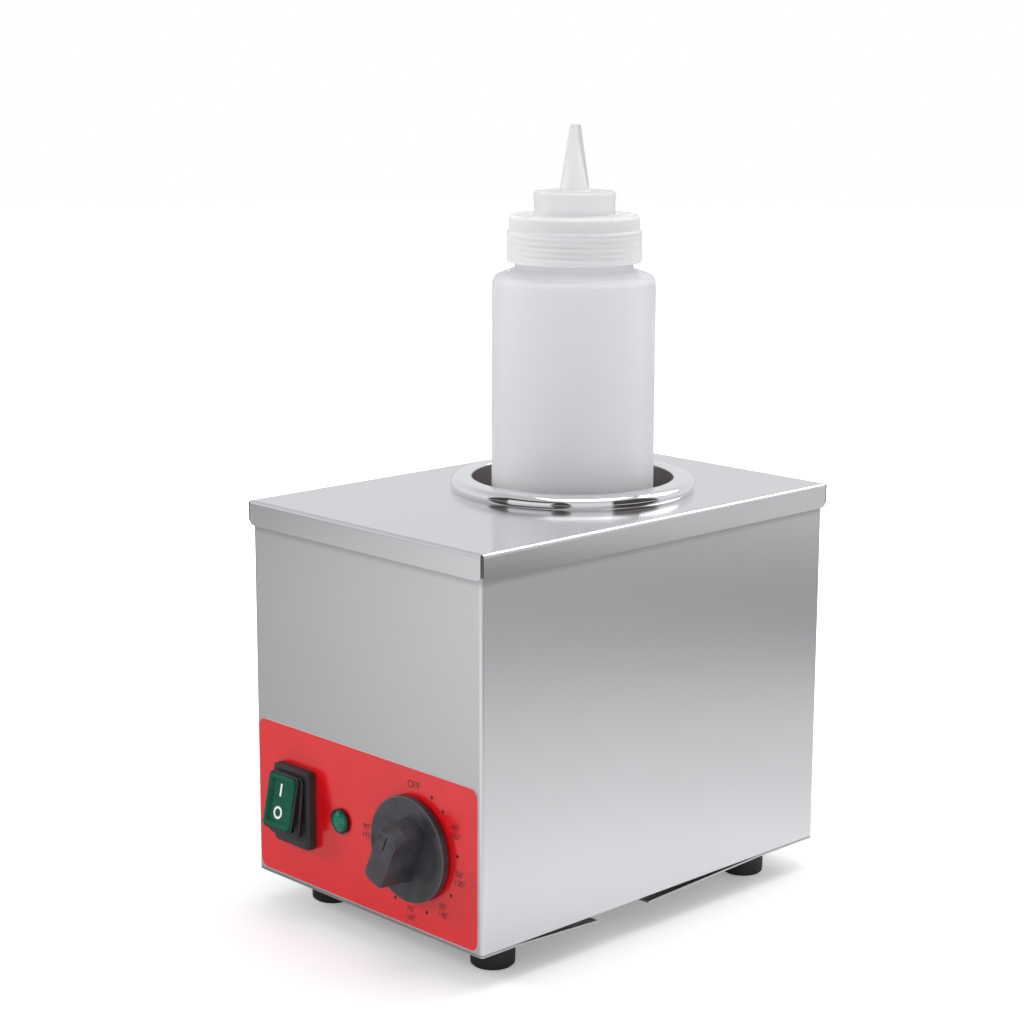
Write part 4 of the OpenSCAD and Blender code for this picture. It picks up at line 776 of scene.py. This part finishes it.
def pointer_rings(width, length, low, high):
    """A bar along the knob's pointer, between two levels."""
    along = GRIP_RADIUS - POINTER_IN - POINTER_LENGTH / 2
    return [at(0, along, pad(width, length, width * POINTER_ROUND, level)) for level in (low, high)]


pointer_ink = moulded("pointer_paint", (0.004, 0.004, 0.005), 0.5)
knob_piece = soften(show("knob_moulding", knob_shape(), slots["knob_plastic"]), KNOB_EDGE)
groove_floor = knob_reach - POINTER_DEPTH
groove = pointer_rings(POINTER_WIDTH, POINTER_LENGTH, groove_floor, knob_reach + 1)
carved(knob_piece, loft("groove_cutter", groove, knob_spot, pointer_ink))
fill_size = inset((POINTER_WIDTH, POINTER_LENGTH), POINTER_GAP / 2)
filling = pointer_rings(*fill_size, groove_floor - POINTER_ROOT, groove_floor + POINTER_FILL)
pointer_piece = loft("knob_pointer", filling, knob_spot, pointer_ink)
fit(knob_piece, "knob", "knob_plastic", "knob")
fit(pointer_piece, "knob", "black_plastic")

# %% [markdown]
# The rocker switch
#
# The switch is sealed against splashes. A green rocker is held in a rubber boot, and the boot is
# a frame on the panel, a fold that takes up the motion and a lip round the rocker. Frame, fold
# and lip sit on three different bodies, because they turn by none, half and all of the rocker's
# angle. The soft section of each ring gives the light lines that run round it in the picture.
# The rows of the fold and the lip hold their outer and inner size, their levels and their bulge.

# %% Switch boot
BOOT_CORNER = 1.8
BOOT_STEP = 0.9
BOOT_SLOPE = 0.54
BOOT_EDGE = 0.3
RING_CORNER = 2.6
RING_SWELL = 0.35
WINDOW_HOLE = (14.2, 22.5)
ROCKER_SIZE = (17.0, 22.0)
LIP_FOOT = 15.56
FOLD = ((20.0, 26.0), (13.6, 20.5), (12.7, 13.95), 0.3)
FOLD_EDGE = 0.25
LIP = ((18.4, 23.8), ROCKER_SIZE, (LIP_FOOT, 16.7), 0.25)
LIP_EDGE = 0.2

tip_joint = joints["rocker_tip"]
fold_joint = joints["boot_fold_tip"]
pivot = Vector(tip_joint["pos_m"])
switch_spot = on_front(pivot.x, pivot.z)


def tipped(joint):
    """Places a piece of the switch about the pivot, half of its joint's range before the middle."""
    angle = -math.radians(joint["range_deg"][1]) / 2
    start = Matrix.Translation((0, 0, front_y - pivot.y))
    return switch_spot @ start @ Matrix.Rotation(angle, 4, "X")


def soft_frame(outside, inside, levels, bulge):
    """Rings of a rubber frame whose outside swells by a bulge between two levels."""
    low, high = levels
    corner = RING_CORNER
    swell = (high - low) * RING_SWELL
    return [
        pad(*inside, corner / 2, low),
        pad(*inset(outside, bulge), corner, low),
        pad(*outside, corner, low + swell),
        pad(*outside, corner, high - swell),
        pad(*inset(outside, bulge), corner, high),
        pad(*inside, corner / 2, high),
    ]


boot_low, boot_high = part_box("switch_boot")
boot_face = (front_y - boot_low.y) / MM
boot_size = ((boot_high.x - boot_low.x) / MM, (boot_high.z - boot_low.z) / MM)
boot_rings = [
    pad(*WINDOW_HOLE, BOOT_CORNER / 2, label_face),
    pad(*boot_size, BOOT_CORNER, label_face),
    pad(*boot_size, BOOT_CORNER, boot_face - BOOT_STEP),
    pad(*inset(boot_size, BOOT_STEP), BOOT_CORNER, boot_face - BOOT_SLOPE),
    pad(*inset(boot_size, BOOT_STEP), BOOT_CORNER, boot_face),
    pad(*WINDOW_HOLE, BOOT_CORNER / 2, boot_face),
]


def rubber(name, rings, place, edge, body, node):
    """A closed ring of rubber with softened edges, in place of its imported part."""
    piece = soften(loft(name, rings, place, slots["boot_rubber"], loop=True), edge)
    fit(piece, body, "boot_rubber", node)


rubber("boot_frame", boot_rings, switch_spot, BOOT_EDGE, "warmer", "switch_boot")
rubber("boot_fold_ring", soft_frame(*FOLD), tipped(fold_joint), FOLD_EDGE, "boot_fold", "boot_fold")
rubber("boot_lip_ring", soft_frame(*LIP), tipped(tip_joint), LIP_EDGE, "rocker", "boot_lip")

# %% [markdown]
# The rocker and its marks
#
# The rocker's edge is rounded, and its top dips gently before it falls to a sunk window. A row of
# its steps tells how far in a step lies, how round its corners are and how deep it is. The bar
# and the ring in the window are print, a film of ink.

# %% Rocker
ROCKER_CORNER = 2.4
ROCKER_FACE = 17.2
WINDOW_SUNK = 1.1
ROCKER_STEPS = (
    (0, ROCKER_CORNER, 0.45),
    (0.13, ROCKER_CORNER, 0.13),
    (0.45, 2.2, 0),
    (1.8, 1.2, 0.03),
    (1.95, 1.2, 0.12),
    (2.6, 0.48, WINDOW_SUNK),
)
STEM_SIZE = (13.0, 17.0)
STEM_CORNER = 0.5
STEM_ENDS = (-3.0, LIP_FOOT + 0.1)


def rocker_shape():
    """The rocker with its sunk window, and the stem behind it that reaches into the housing."""
    rings = [pad(*ROCKER_SIZE, ROCKER_CORNER, LIP_FOOT)]
    rings += [pad(*inset(ROCKER_SIZE, by), corner, ROCKER_FACE - deep) for by, corner, deep in ROCKER_STEPS]
    stem = [pad(*STEM_SIZE, STEM_CORNER, level) for level in STEM_ENDS]
    shape = bmesh.new()
    for outlines in (rings, stem):
        skin(shape, outlines, tipped(tip_joint))
    return shape


rocker_piece = show("rocker_moulding", rocker_shape(), slots["rocker_green"])
fit(rocker_piece, "rocker", "rocker_green", "rocker")

# %% Rocker marks
MARK_RISE = 0.03
MARK_ROOT = 0.02
MARK_UP = 4.7
MARK_LEFT = 1.0
BAR_LENGTH = 5.3
BAR_WIDTH = 1.05
BAR_CORNER = 0.15
RING_OUTER = 2.65
RING_STROKE = 0.95

mark_ink = moulded("white_print", (0.86, 0.87, 0.86), 0.45, change=0.02)
window_floor = ROCKER_FACE - WINDOW_SUNK


def marks_shape():
    """The upright bar and the ring that are printed in the rocker's window."""
    levels = (window_floor - MARK_ROOT, window_floor + MARK_RISE)
    shape = bmesh.new()
    bar = [at(-MARK_LEFT, MARK_UP, pad(BAR_WIDTH, BAR_LENGTH, BAR_CORNER, level)) for level in levels]
    skin(shape, bar, tipped(tip_joint))
    inner = RING_OUTER - RING_STROKE
    sizes = ((inner, levels[0]), (RING_OUTER, levels[0]), (RING_OUTER, levels[1]), (inner, levels[1]))
    ring = [at(-MARK_LEFT, -MARK_UP, circle(radius, level)) for radius, level in sizes]
    skin(shape, ring, tipped(tip_joint), loop=True)
    return shape


fit(show("rocker_marks", marks_shape(), mark_ink), "rocker", "rocker_green")

# %% [markdown]
# The pilot light
#
# A green lens is snapped into the panel in front of a small lamp. It is a low dome with a
# straight rim. The inside is stippled so that the lamp lights it evenly, and the clear outer skin
# over that stipple is what shines. A coat on the shader stands for the skin, and a cell pattern
# under it for the stipple. Towards the rim the colour is darkened, a painted shade for the dark
# ring that the lens shows where the plastic is seen edge on.

# %% Pilot light
LENS_RIM = 1.4
LENS_DOME = 1.2
LENS_BAND = 0.8
LENS_ROUND = 0.48
DOME_STOP = 89.3
STIPPLE = 1500
STIPPLE_DEPTH = 0.05
STIPPLE_TONES = ((0.0, 1.0), (0.8, 0.35))
# How far in from the lens's edge, in mm, the painted rim shade is darkest and where it ends.
RIM_DARK = 0.6
RIM_LIT = 1.7
LENS_SKIN = {"Coat_Weight": 1.0, "Coat_Roughness": 0.03, "Coat_IOR": 1.4}

lens_middle = middle("pilot_lens")
lens_radius = half_width("pilot_lens")
lens_spot = on_front(lens_middle.x, lens_middle.z)


def lens_outline():
    """The lens from its foot on the panel to the top of its dome."""
    rim = label_face + LENS_RIM
    inner = lens_radius - LENS_BAND
    dome_radius = (inner * inner + LENS_DOME * LENS_DOME) / (2 * LENS_DOME)
    reach = math.degrees(math.asin(inner / dome_radius))
    dome = arc(0, rim + LENS_DOME - dome_radius, dome_radius, 90 - reach, DOME_STOP, steps=12)
    shoulder = arc(lens_radius - LENS_ROUND, rim - LENS_ROUND, LENS_ROUND, 0, 75, steps=6)
    return [(lens_radius, label_face), *shoulder, *dome]


def stippled_lens(name, deep, bright):
    """Green plastic with a stippled back, and painted shade that darkens its rim."""
    made = finish(name, bright, 0.22, Specular_IOR_Level=0.1, **LENS_SKIN)
    values = {"Vector": place_in(made), "Scale": STIPPLE}
    cells = add(made, "ShaderNodeTexVoronoi", values).outputs["Distance"]
    away = measured(made, "DISTANCE", place_in(made), lens_middle)
    # Painted shade towards the rim of the lens.
    rim = rescaled(made, away, (lens_radius - RIM_DARK) * MM, (lens_radius - RIM_LIT) * MM)
    stipple = ramp_of(made, cells, *STIPPLE_TONES)
    tint(made, number(made, "MULTIPLY", rim, stipple), deep, bright, span=(0, 1))
    relief(made, cells, STIPPLE_DEPTH * MM, strength=0.5)
    return made


slots["lens_green"] = stippled_lens("stippled_lens", (0.0, 0.014, 0.012), (0.0, 0.27, 0.16))
lens_piece = turned("pilot_lens_dome", lens_outline(), lens_spot, slots["lens_green"])
fit(lens_piece, "warmer", "lens_green", "pilot_lens")

# %% [markdown]
# The dial's print
#
# The panel is a printed film. Its marks are ink, so they have a thickness of hundredths of a
# millimetre. A row of the scale holds an angle, clockwise from the top, and the two numbers that
# stand there. They are Blender's own text, turned into a mesh and laid on the film.

# %% Dial print
INK_RISE = 0.02
DOT_RADIUS = 0.72
DOTS_AT = 25.8
NUMBERS_AT = 27.6
NUMBER_SIZE = 3.5
WORD_SIZE = 4.2
ROW_STEP = 3.5
DOT_ANGLES = (25.4, 42.1, 82.9, 122.0, 162.2, 204.7)
OFF_ANGLE = 1.3
SCALE = (
    (62.9, 40, 105),
    (102.2, 50, 120),
    (140.6, 60, 140),
    (183.1, 70, 160),
    (226.0, 80, 175),
    (269.4, 90, 195),
)
DEGREES = "\u00b0"

dial_ink = moulded("dial_ink", (0.03, 0.008, 0.01), 0.5)
dial_spot = on_front(turn_joint["pos_m"][0], turn_joint["pos_m"][2])


def round_the_dial(radius, clockwise):
    """A place round the knob, in mm, by its angle clockwise from the top."""
    turn = math.radians(clockwise)
    return radius * math.sin(turn), radius * math.cos(turn)


def print_line(shape, words, size, x, y):
    """Adds a line of text to the print, x and y in mm from the dial's middle."""
    curve = bpy.data.curves.new(words, "FONT")
    curve.body = words
    curve.size = size * MM
    curve.align_x = "CENTER"
    curve.align_y = "CENTER"
    curve.extrude = INK_RISE / 2 * MM
    writer = put_in(words, curve)
    mesh = settled(writer)
    mesh.transform(dial_spot @ Matrix.Translation((x * MM, y * MM, (label_face + INK_RISE / 2) * MM)))
    shape.from_mesh(mesh)
    bpy.data.meshes.remove(mesh)
    bpy.data.objects.remove(writer)
    bpy.data.curves.remove(curve)


def dial_print():
    """All dots, numbers and the OFF mark of the dial."""
    shape = bmesh.new()
    for angle in DOT_ANGLES:
        x, y = round_the_dial(DOTS_AT, angle)
        skin(shape, [at(x, y, circle(DOT_RADIUS, label_face + rise)) for rise in (0, INK_RISE)], dial_spot)
    for angle, upper, lower in SCALE:
        x, y = round_the_dial(NUMBERS_AT, angle)
        print_line(shape, f"{upper}{DEGREES}", NUMBER_SIZE, x, y + ROW_STEP / 2)
        print_line(shape, f"{lower}{DEGREES}", NUMBER_SIZE, x, y - ROW_STEP / 2)
    print_line(shape, "OFF", WORD_SIZE, *round_the_dial(DOTS_AT, OFF_ANGLE))
    return shape


fit(show("dial_print", dial_print(), dial_ink), "warmer", "overlay_red")

# %% [markdown]
# The bottle and its cap
#
# The bottle is blown from soft milky polyethylene: a straight body, a small round shoulder and a
# neck with a thread. Its wall is about a millimetre thick, so light goes through it, wanders
# inside and comes out everywhere, which is why it looks evenly pale. It is therefore a true
# hollow shell of a plastic that lets light through a rough skin and scatters the rest. How much
# it lets through changes with the height, which makes the wall lighter or darker by height: this
# is painted light and shade, and the wall keeps one thickness.

# %% Bottle
BOTTLE_WALL = 1.2
FOOT_HUB = 2.0
FOOT_FLAT = 22.0
SHOULDER_RADIUS = 4.0
SHOULDER_SLOPE = 2.1
SHOULDER_TURN = 78
HEEL_RADIUS = 5.0
PUSH_UP = 1.2
NECK_RADIUS = 24.7
NECK_EASE = 0.5
CAP_ROOM = 2.7
THREAD_DEPTH = 0.7
THREAD_ROOT = 0.2
THREAD_PITCH = 4.5
THREAD_TURNS = 2
THREAD_TILT = math.radians(1.4)

bottle_low, bottle_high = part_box("bottle_body")
cap_low, cap_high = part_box("bottle_cap")
bottle_middle = middle("bottle_body")
bottle_spot = upright(bottle_middle.x, bottle_middle.y)
bottle_radius = half_width("bottle_body")
bottle_foot = bottle_low.z / MM
bottle_top = bottle_high.z / MM
cap_foot = cap_low.z / MM
neck_foot = cap_foot - CAP_ROOM
shoulder_top = neck_foot - SHOULDER_SLOPE


def bottle_wall(thickness):
    """The outline from the foot's middle to the lip, grown inward by a thickness."""
    radius = bottle_radius - thickness
    heel = HEEL_RADIUS - thickness
    shoulder = SHOULDER_RADIUS - thickness
    neck = NECK_RADIUS - thickness
    foot = bottle_foot + thickness
    neck_root = neck_foot - thickness
    path = [(FOOT_HUB, foot + PUSH_UP), (FOOT_FLAT, foot + PUSH_UP)]
    path += arc(radius - heel, foot + heel, heel, -90, 0)
    path += [(radius, foot + (shoulder_top - foot) * share) for share in (0.25, 0.5, 0.75)]
    path += arc(radius - shoulder, shoulder_top - thickness - shoulder, shoulder, 0, SHOULDER_TURN)
    return path + [(neck + NECK_EASE, neck_root), (neck, neck_root + NECK_EASE), (neck, bottle_top)]


def bottle_shape():
    """The hollow bottle as one skin, and the turns of its thread."""
    shape = bmesh.new()
    outline = bottle_wall(BOTTLE_WALL) + bottle_wall(0)[::-1]
    skin(shape, [circle(r, h) for r, h in outline], bottle_spot)
    root = NECK_RADIUS - THREAD_ROOT
    crest = NECK_RADIUS + THREAD_DEPTH
    section = [(root, -THREAD_PITCH / 4), (crest, -THREAD_PITCH / 12)]
    section += [(crest, THREAD_PITCH / 12), (root, THREAD_PITCH / 4)]
    for turn in range(1, THREAD_TURNS + 1):
        level = cap_foot + THREAD_PITCH * turn
        lean = Matrix.Translation((0, 0, level * MM)) @ Matrix.Rotation(THREAD_TILT, 4, "X")
        skin(shape, [circle(r, h) for r, h in section], bottle_spot @ lean, loop=True)
    return shape


# %% Bottle finish
# Painted light and shade: how much the wall lets through at each height in mm, set for how light it looks there.
WALL_LIGHT = (
    (cover_face, 0.56),
    (cover_face + 45, 0.72),
    (shoulder_top - SHOULDER_RADIUS, 0.74),
    (neck_foot, 0.9),
    (cap_foot + 2, 0.6),
)


def graded(material, *stops):
    """A value by height in mm, such as how much light a wall lets through."""
    return ramp_of(material, height_in(material), *[(level * MM, clear) for level, clear in stops])


bottle_clear = slots["bottle_clear"]
drive(bottle_clear, "Transmission Weight", graded(bottle_clear, *WALL_LIGHT))
bottle_piece = show("bottle_blown", bottle_shape(), bottle_clear)
fit(bottle_piece, "bottle", "bottle_clear", "bottle_body")

# %% [markdown]
# The cap
#
# The cap is moulded harder and shinier than the bottle. Its roof, its hub and the spout stand on
# each other like the steps of a turned part, so one outline runs up the outside and down the
# inside. The neck's thread thickens the skirt in slanting bands, which the light shows whiter.

# %% Cap shape
CAP_LOWER = 13.7
CAP_STEP = 1.0
CAP_UPPER = 5.8
HUB_RADIUS = 17.0
HUB_HEIGHT = 9.5
CAP_EDGE = 1.2
CAP_WALL = 1.4
SPOUT_RADIUS = 6.3
TIP_RADIUS = 2.4
ORIFICE = 0.9
ORIFICE_DEEP = 5.0
FOOT_EASE = 0.4
ROOT_EASE = 0.6
SPOUT_DRAFT = 0.1
TIP_LENGTH = 1.6
TIP_ROUND = 1.1

cap_radius = half_width("bottle_cap")
spout_top = cap_high.z / MM
cap_step = cap_foot + CAP_LOWER
cap_roof = cap_step + CAP_UPPER
hub_top = cap_roof + HUB_HEIGHT


def rounded(out, up):
    """The round edge of the cap where a wall meets a roof."""
    return [(out, up - CAP_EDGE), *arc(out - CAP_EDGE, up - CAP_EDGE, CAP_EDGE, 0, 90)]


def cap_outline():
    """Up the outside of the cap to the spout's tip, and down the inside."""
    upper = cap_radius - CAP_STEP
    path = [(cap_radius - FOOT_EASE, cap_foot), (cap_radius, cap_foot + FOOT_EASE)]
    path += [(cap_radius, cap_step - CAP_STEP), (upper, cap_step), *rounded(upper, cap_roof)]
    path += [(HUB_RADIUS + ROOT_EASE, cap_roof), (HUB_RADIUS, cap_roof + ROOT_EASE)]
    path += rounded(HUB_RADIUS, hub_top)
    path += [(SPOUT_RADIUS + ROOT_EASE, hub_top), (SPOUT_RADIUS - SPOUT_DRAFT, hub_top + ROOT_EASE)]
    path += [(TIP_RADIUS + SPOUT_DRAFT, spout_top - TIP_LENGTH)]
    path += arc(TIP_RADIUS - TIP_ROUND, spout_top - TIP_ROUND, TIP_ROUND, 10, 90, steps=6)
    path += [(ORIFICE, spout_top), (ORIFICE, spout_top - ORIFICE_DEEP)]
    inside = [(SPOUT_RADIUS, hub_top), (HUB_RADIUS, hub_top), (HUB_RADIUS, cap_roof), (upper, cap_roof)]
    return path + [(r - CAP_WALL, h - CAP_WALL) for r, h in inside] + [(upper - CAP_WALL, cap_foot)]


# %% Cap finish
CAP_LIGHT = ((cap_roof - 1, 0.54), (cap_roof + 1, 0.74), (hub_top - 0.5, 0.74), (hub_top + 0.5, 0.7))
BAND_LIGHT = ((-1, 0.0), (0.1, 0.02), (1, 0.18))
BAND_END = 1.5


def banded(material):
    """How much light the cap lets through: less in slanting bands along its skirt."""
    slant = across(material, place_in(material), (math.sin(THREAD_TILT), 0, math.cos(THREAD_TILT)))
    turns = number(material, "MULTIPLY", slant, math.tau / (THREAD_PITCH / 2 * MM))
    wave = ramp_of(material, number(material, "SINE", turns), *BAND_LIGHT)
    skirt = graded(material, (cap_step - BAND_END, 1.0), (cap_step, 0.0))
    walls = graded(material, *CAP_LIGHT)
    return number(material, "SUBTRACT", walls, number(material, "MULTIPLY", wave, skirt))


drive(slots["cap_clear"], "Transmission Weight", banded(slots["cap_clear"]))
cap_piece = turned("cap_moulding", cap_outline(), bottle_spot, slots["cap_clear"], loop=True)
fit(cap_piece, "cap", "cap_clear", "bottle_cap")

# %% [markdown]
# The studio: a floor that metal can see
#
# The picture has a pure white ground, and polished metal shows whatever stands round it. The
# floor is a wide pale disc that takes the machine's shadow. Further out it turns plain white for
# the camera, as a seamless paper roll does. For reflected rays the same floor is white beside the
# machine and greyer further away, so the flat sides show a gradient from light at the foot to
# grey under the cover, which is how a satin box reads as metal.
#
# The two sides of the casing look at two sides of the floor, so each has tones of its own. The
# pairs below are a distance in metres and the tone there.

# %% Floor
FLOOR_RADIUS = 4.0
FLOOR_TONE = (0.86, 0.86, 0.865)
RIGHT_TONES = ((0.1, 1.0), (0.3, 0.71), (0.69, 0.1), (0.8, 0.66))
LEFT_SLANT = (1, -1.2, 0)
LEFT_TONES = ((-0.33, 0.18), (0.67, 0.9))
LEFT_FADE = ((0.78, 1.0), (0.9, 0.75))
SIDE_BLEND = ((-0.15, 0.0), (0.15, 1.0))
WHITE_FROM = ((0.12, 0.25), (0.34, 1.0))

mesh = bpy.data.meshes.new("studio_floor")
floor = put_in("studio_floor", mesh)
shape = bmesh.new()
bmesh.ops.create_circle(shape, cap_ends=True, segments=ROUND, radius=FLOOR_RADIUS)
shape.to_mesh(mesh)
shape.free()

paint = finish("studio_floor", FLOOR_TONE, 0.9, Specular_IOR_Level=0.0, Emission_Color=(1, 1, 1, 1))
mesh.materials.append(paint)
place = place_in(paint)
reach = measured(paint, "LENGTH", place)
rays = add(paint, "ShaderNodeLightPath").outputs
left_slope = ramp_of(paint, across(paint, place, LEFT_SLANT), *LEFT_TONES)
left_floor = number(paint, "MULTIPLY", left_slope, ramp_of(paint, reach, *LEFT_FADE))
side = ramp_of(paint, across(paint, place, (1, 1, 0)), *SIDE_BLEND)
reflected = mixed(paint, side, left_floor, ramp_of(paint, reach, *RIGHT_TONES))
drive(paint, "Base Color", mixed(paint, rays["Is Glossy Ray"], FLOOR_TONE, reflected))
glow = number(paint, "MULTIPLY", rays["Is Camera Ray"], ramp_of(paint, reach, *WHITE_FROM))
drive(paint, "Emission Strength", glow)
print("floor radius in m:", FLOOR_RADIUS)

# %% [markdown]
# The studio: sky and lamps
#
# The sky is a pale dome, brightest near the horizon. Reflections also see a dark drape on the
# camera's side, where a photographer and an unlit room stand, and two windows in that drape,
# which give the polished rim its contrast. One soft lamp on the left throws the short shadows of
# the knob and switch across the red panel, a wide one overhead whitens the rim's crown, and a
# third behind on the right draws the bright line along the cover's fold. A row of the table is a
# lamp's name, place, width and power, and whether the metal mirrors it.

# %% Sky
SKY_TONES = ((0.0, 0.84), (0.3, 0.84), (0.9, 0.6))
SKY_HUE = (0.975, 0.98, 1.0)
DRAPE_TONE = (0.075, 0.064, 0.055)
DRAPE_FOOT = ((-0.02, 0.0), (0.05, 1.0))
DRAPE_TOP = ((0.72, 1.0), (0.8, 0.0))
DRAPE_SIDES = ((0.04, 0.0), (0.13, 1.0))
WINDOWS = ((17, 19, 0.9), (-42, 21, 0.5))
WINDOW_SIDE = 0.03
WINDOW_TOP = 0.04
WINDOW_FRONT = ((0.0, 0.0), (0.1, 1.0))

scene.view_settings.view_transform = "Standard"
world = bpy.data.worlds.new("studio")
scene.world = world
world.use_nodes = True
direction = add(world, "ShaderNodeTexCoord").outputs["Generated"]
height = across(world, direction, (0, 0, 1))
dome = ramp_of(world, height, *SKY_TONES, hue=SKY_HUE)


def toward(turn):
    """How far a direction points to a place on the horizon, in degrees to the right of the camera."""
    azimuth = TURN + math.radians(turn)
    return across(world, direction, (math.sin(azimuth), -math.cos(azimuth), 0))


drape = ramp_of(world, toward(0), *DRAPE_SIDES)
for stops in (DRAPE_FOOT, DRAPE_TOP):
    drape = number(world, "MULTIPLY", drape, ramp_of(world, height, *stops))
for turn, half_width, top in WINDOWS:
    aside = number(world, "ABSOLUTE", toward(turn + 90))
    edge = math.sin(math.radians(half_width))
    pane = number(
        world,
        "MULTIPLY",
        ramp_of(world, aside, (edge - WINDOW_SIDE, 1.0), (edge + WINDOW_SIDE, 0.0)),
        ramp_of(world, height, (top - WINDOW_TOP, 1.0), (top + WINDOW_TOP, 0.0)),
        ramp_of(world, toward(turn), *WINDOW_FRONT),
    )
    drape = number(world, "MULTIPLY", drape, ramp_of(world, pane, (0.0, 1.0), (1.0, 0.0)))
rays = add(world, "ShaderNodeLightPath").outputs
hung = number(world, "MULTIPLY", drape, rays["Is Glossy Ray"])
plain_ray = number(world, "MAXIMUM", rays["Is Camera Ray"], rays["Is Transmission Ray"])
seen_sky = mixed(world, plain_ray, mixed(world, hung, dome, DRAPE_TONE), (1.0, 1.0, 1.0))
feed(world, world.node_tree.nodes["Background"], "Color", seen_sky)
print("windows in the drape:", len(WINDOWS))

# %% Lamps
LAMP_AIM = Vector((0, 0, 0.12))
LAMPS = (
    ("key_left", (-1.1, -0.75, 0.6), 0.25, 7, False),
    ("overhead", (0.1, 0.1, 1.4), 0.9, 6, True),
    ("fill_right", (0.3, 1.0, 1.1), 0.7, 5, True),
)
for name, spot, size, power, mirrored in LAMPS:
    lamp = bpy.data.lights.new(name, "AREA")
    lamp.size = size
    lamp.energy = power
    softbox = put_in(name, lamp)
    softbox.location = spot
    softbox.rotation_euler = (LAMP_AIM - Vector(spot)).to_track_quat("-Z", "Y").to_euler()
    softbox.visible_glossy = mirrored
print("lamps:", len(LAMPS))
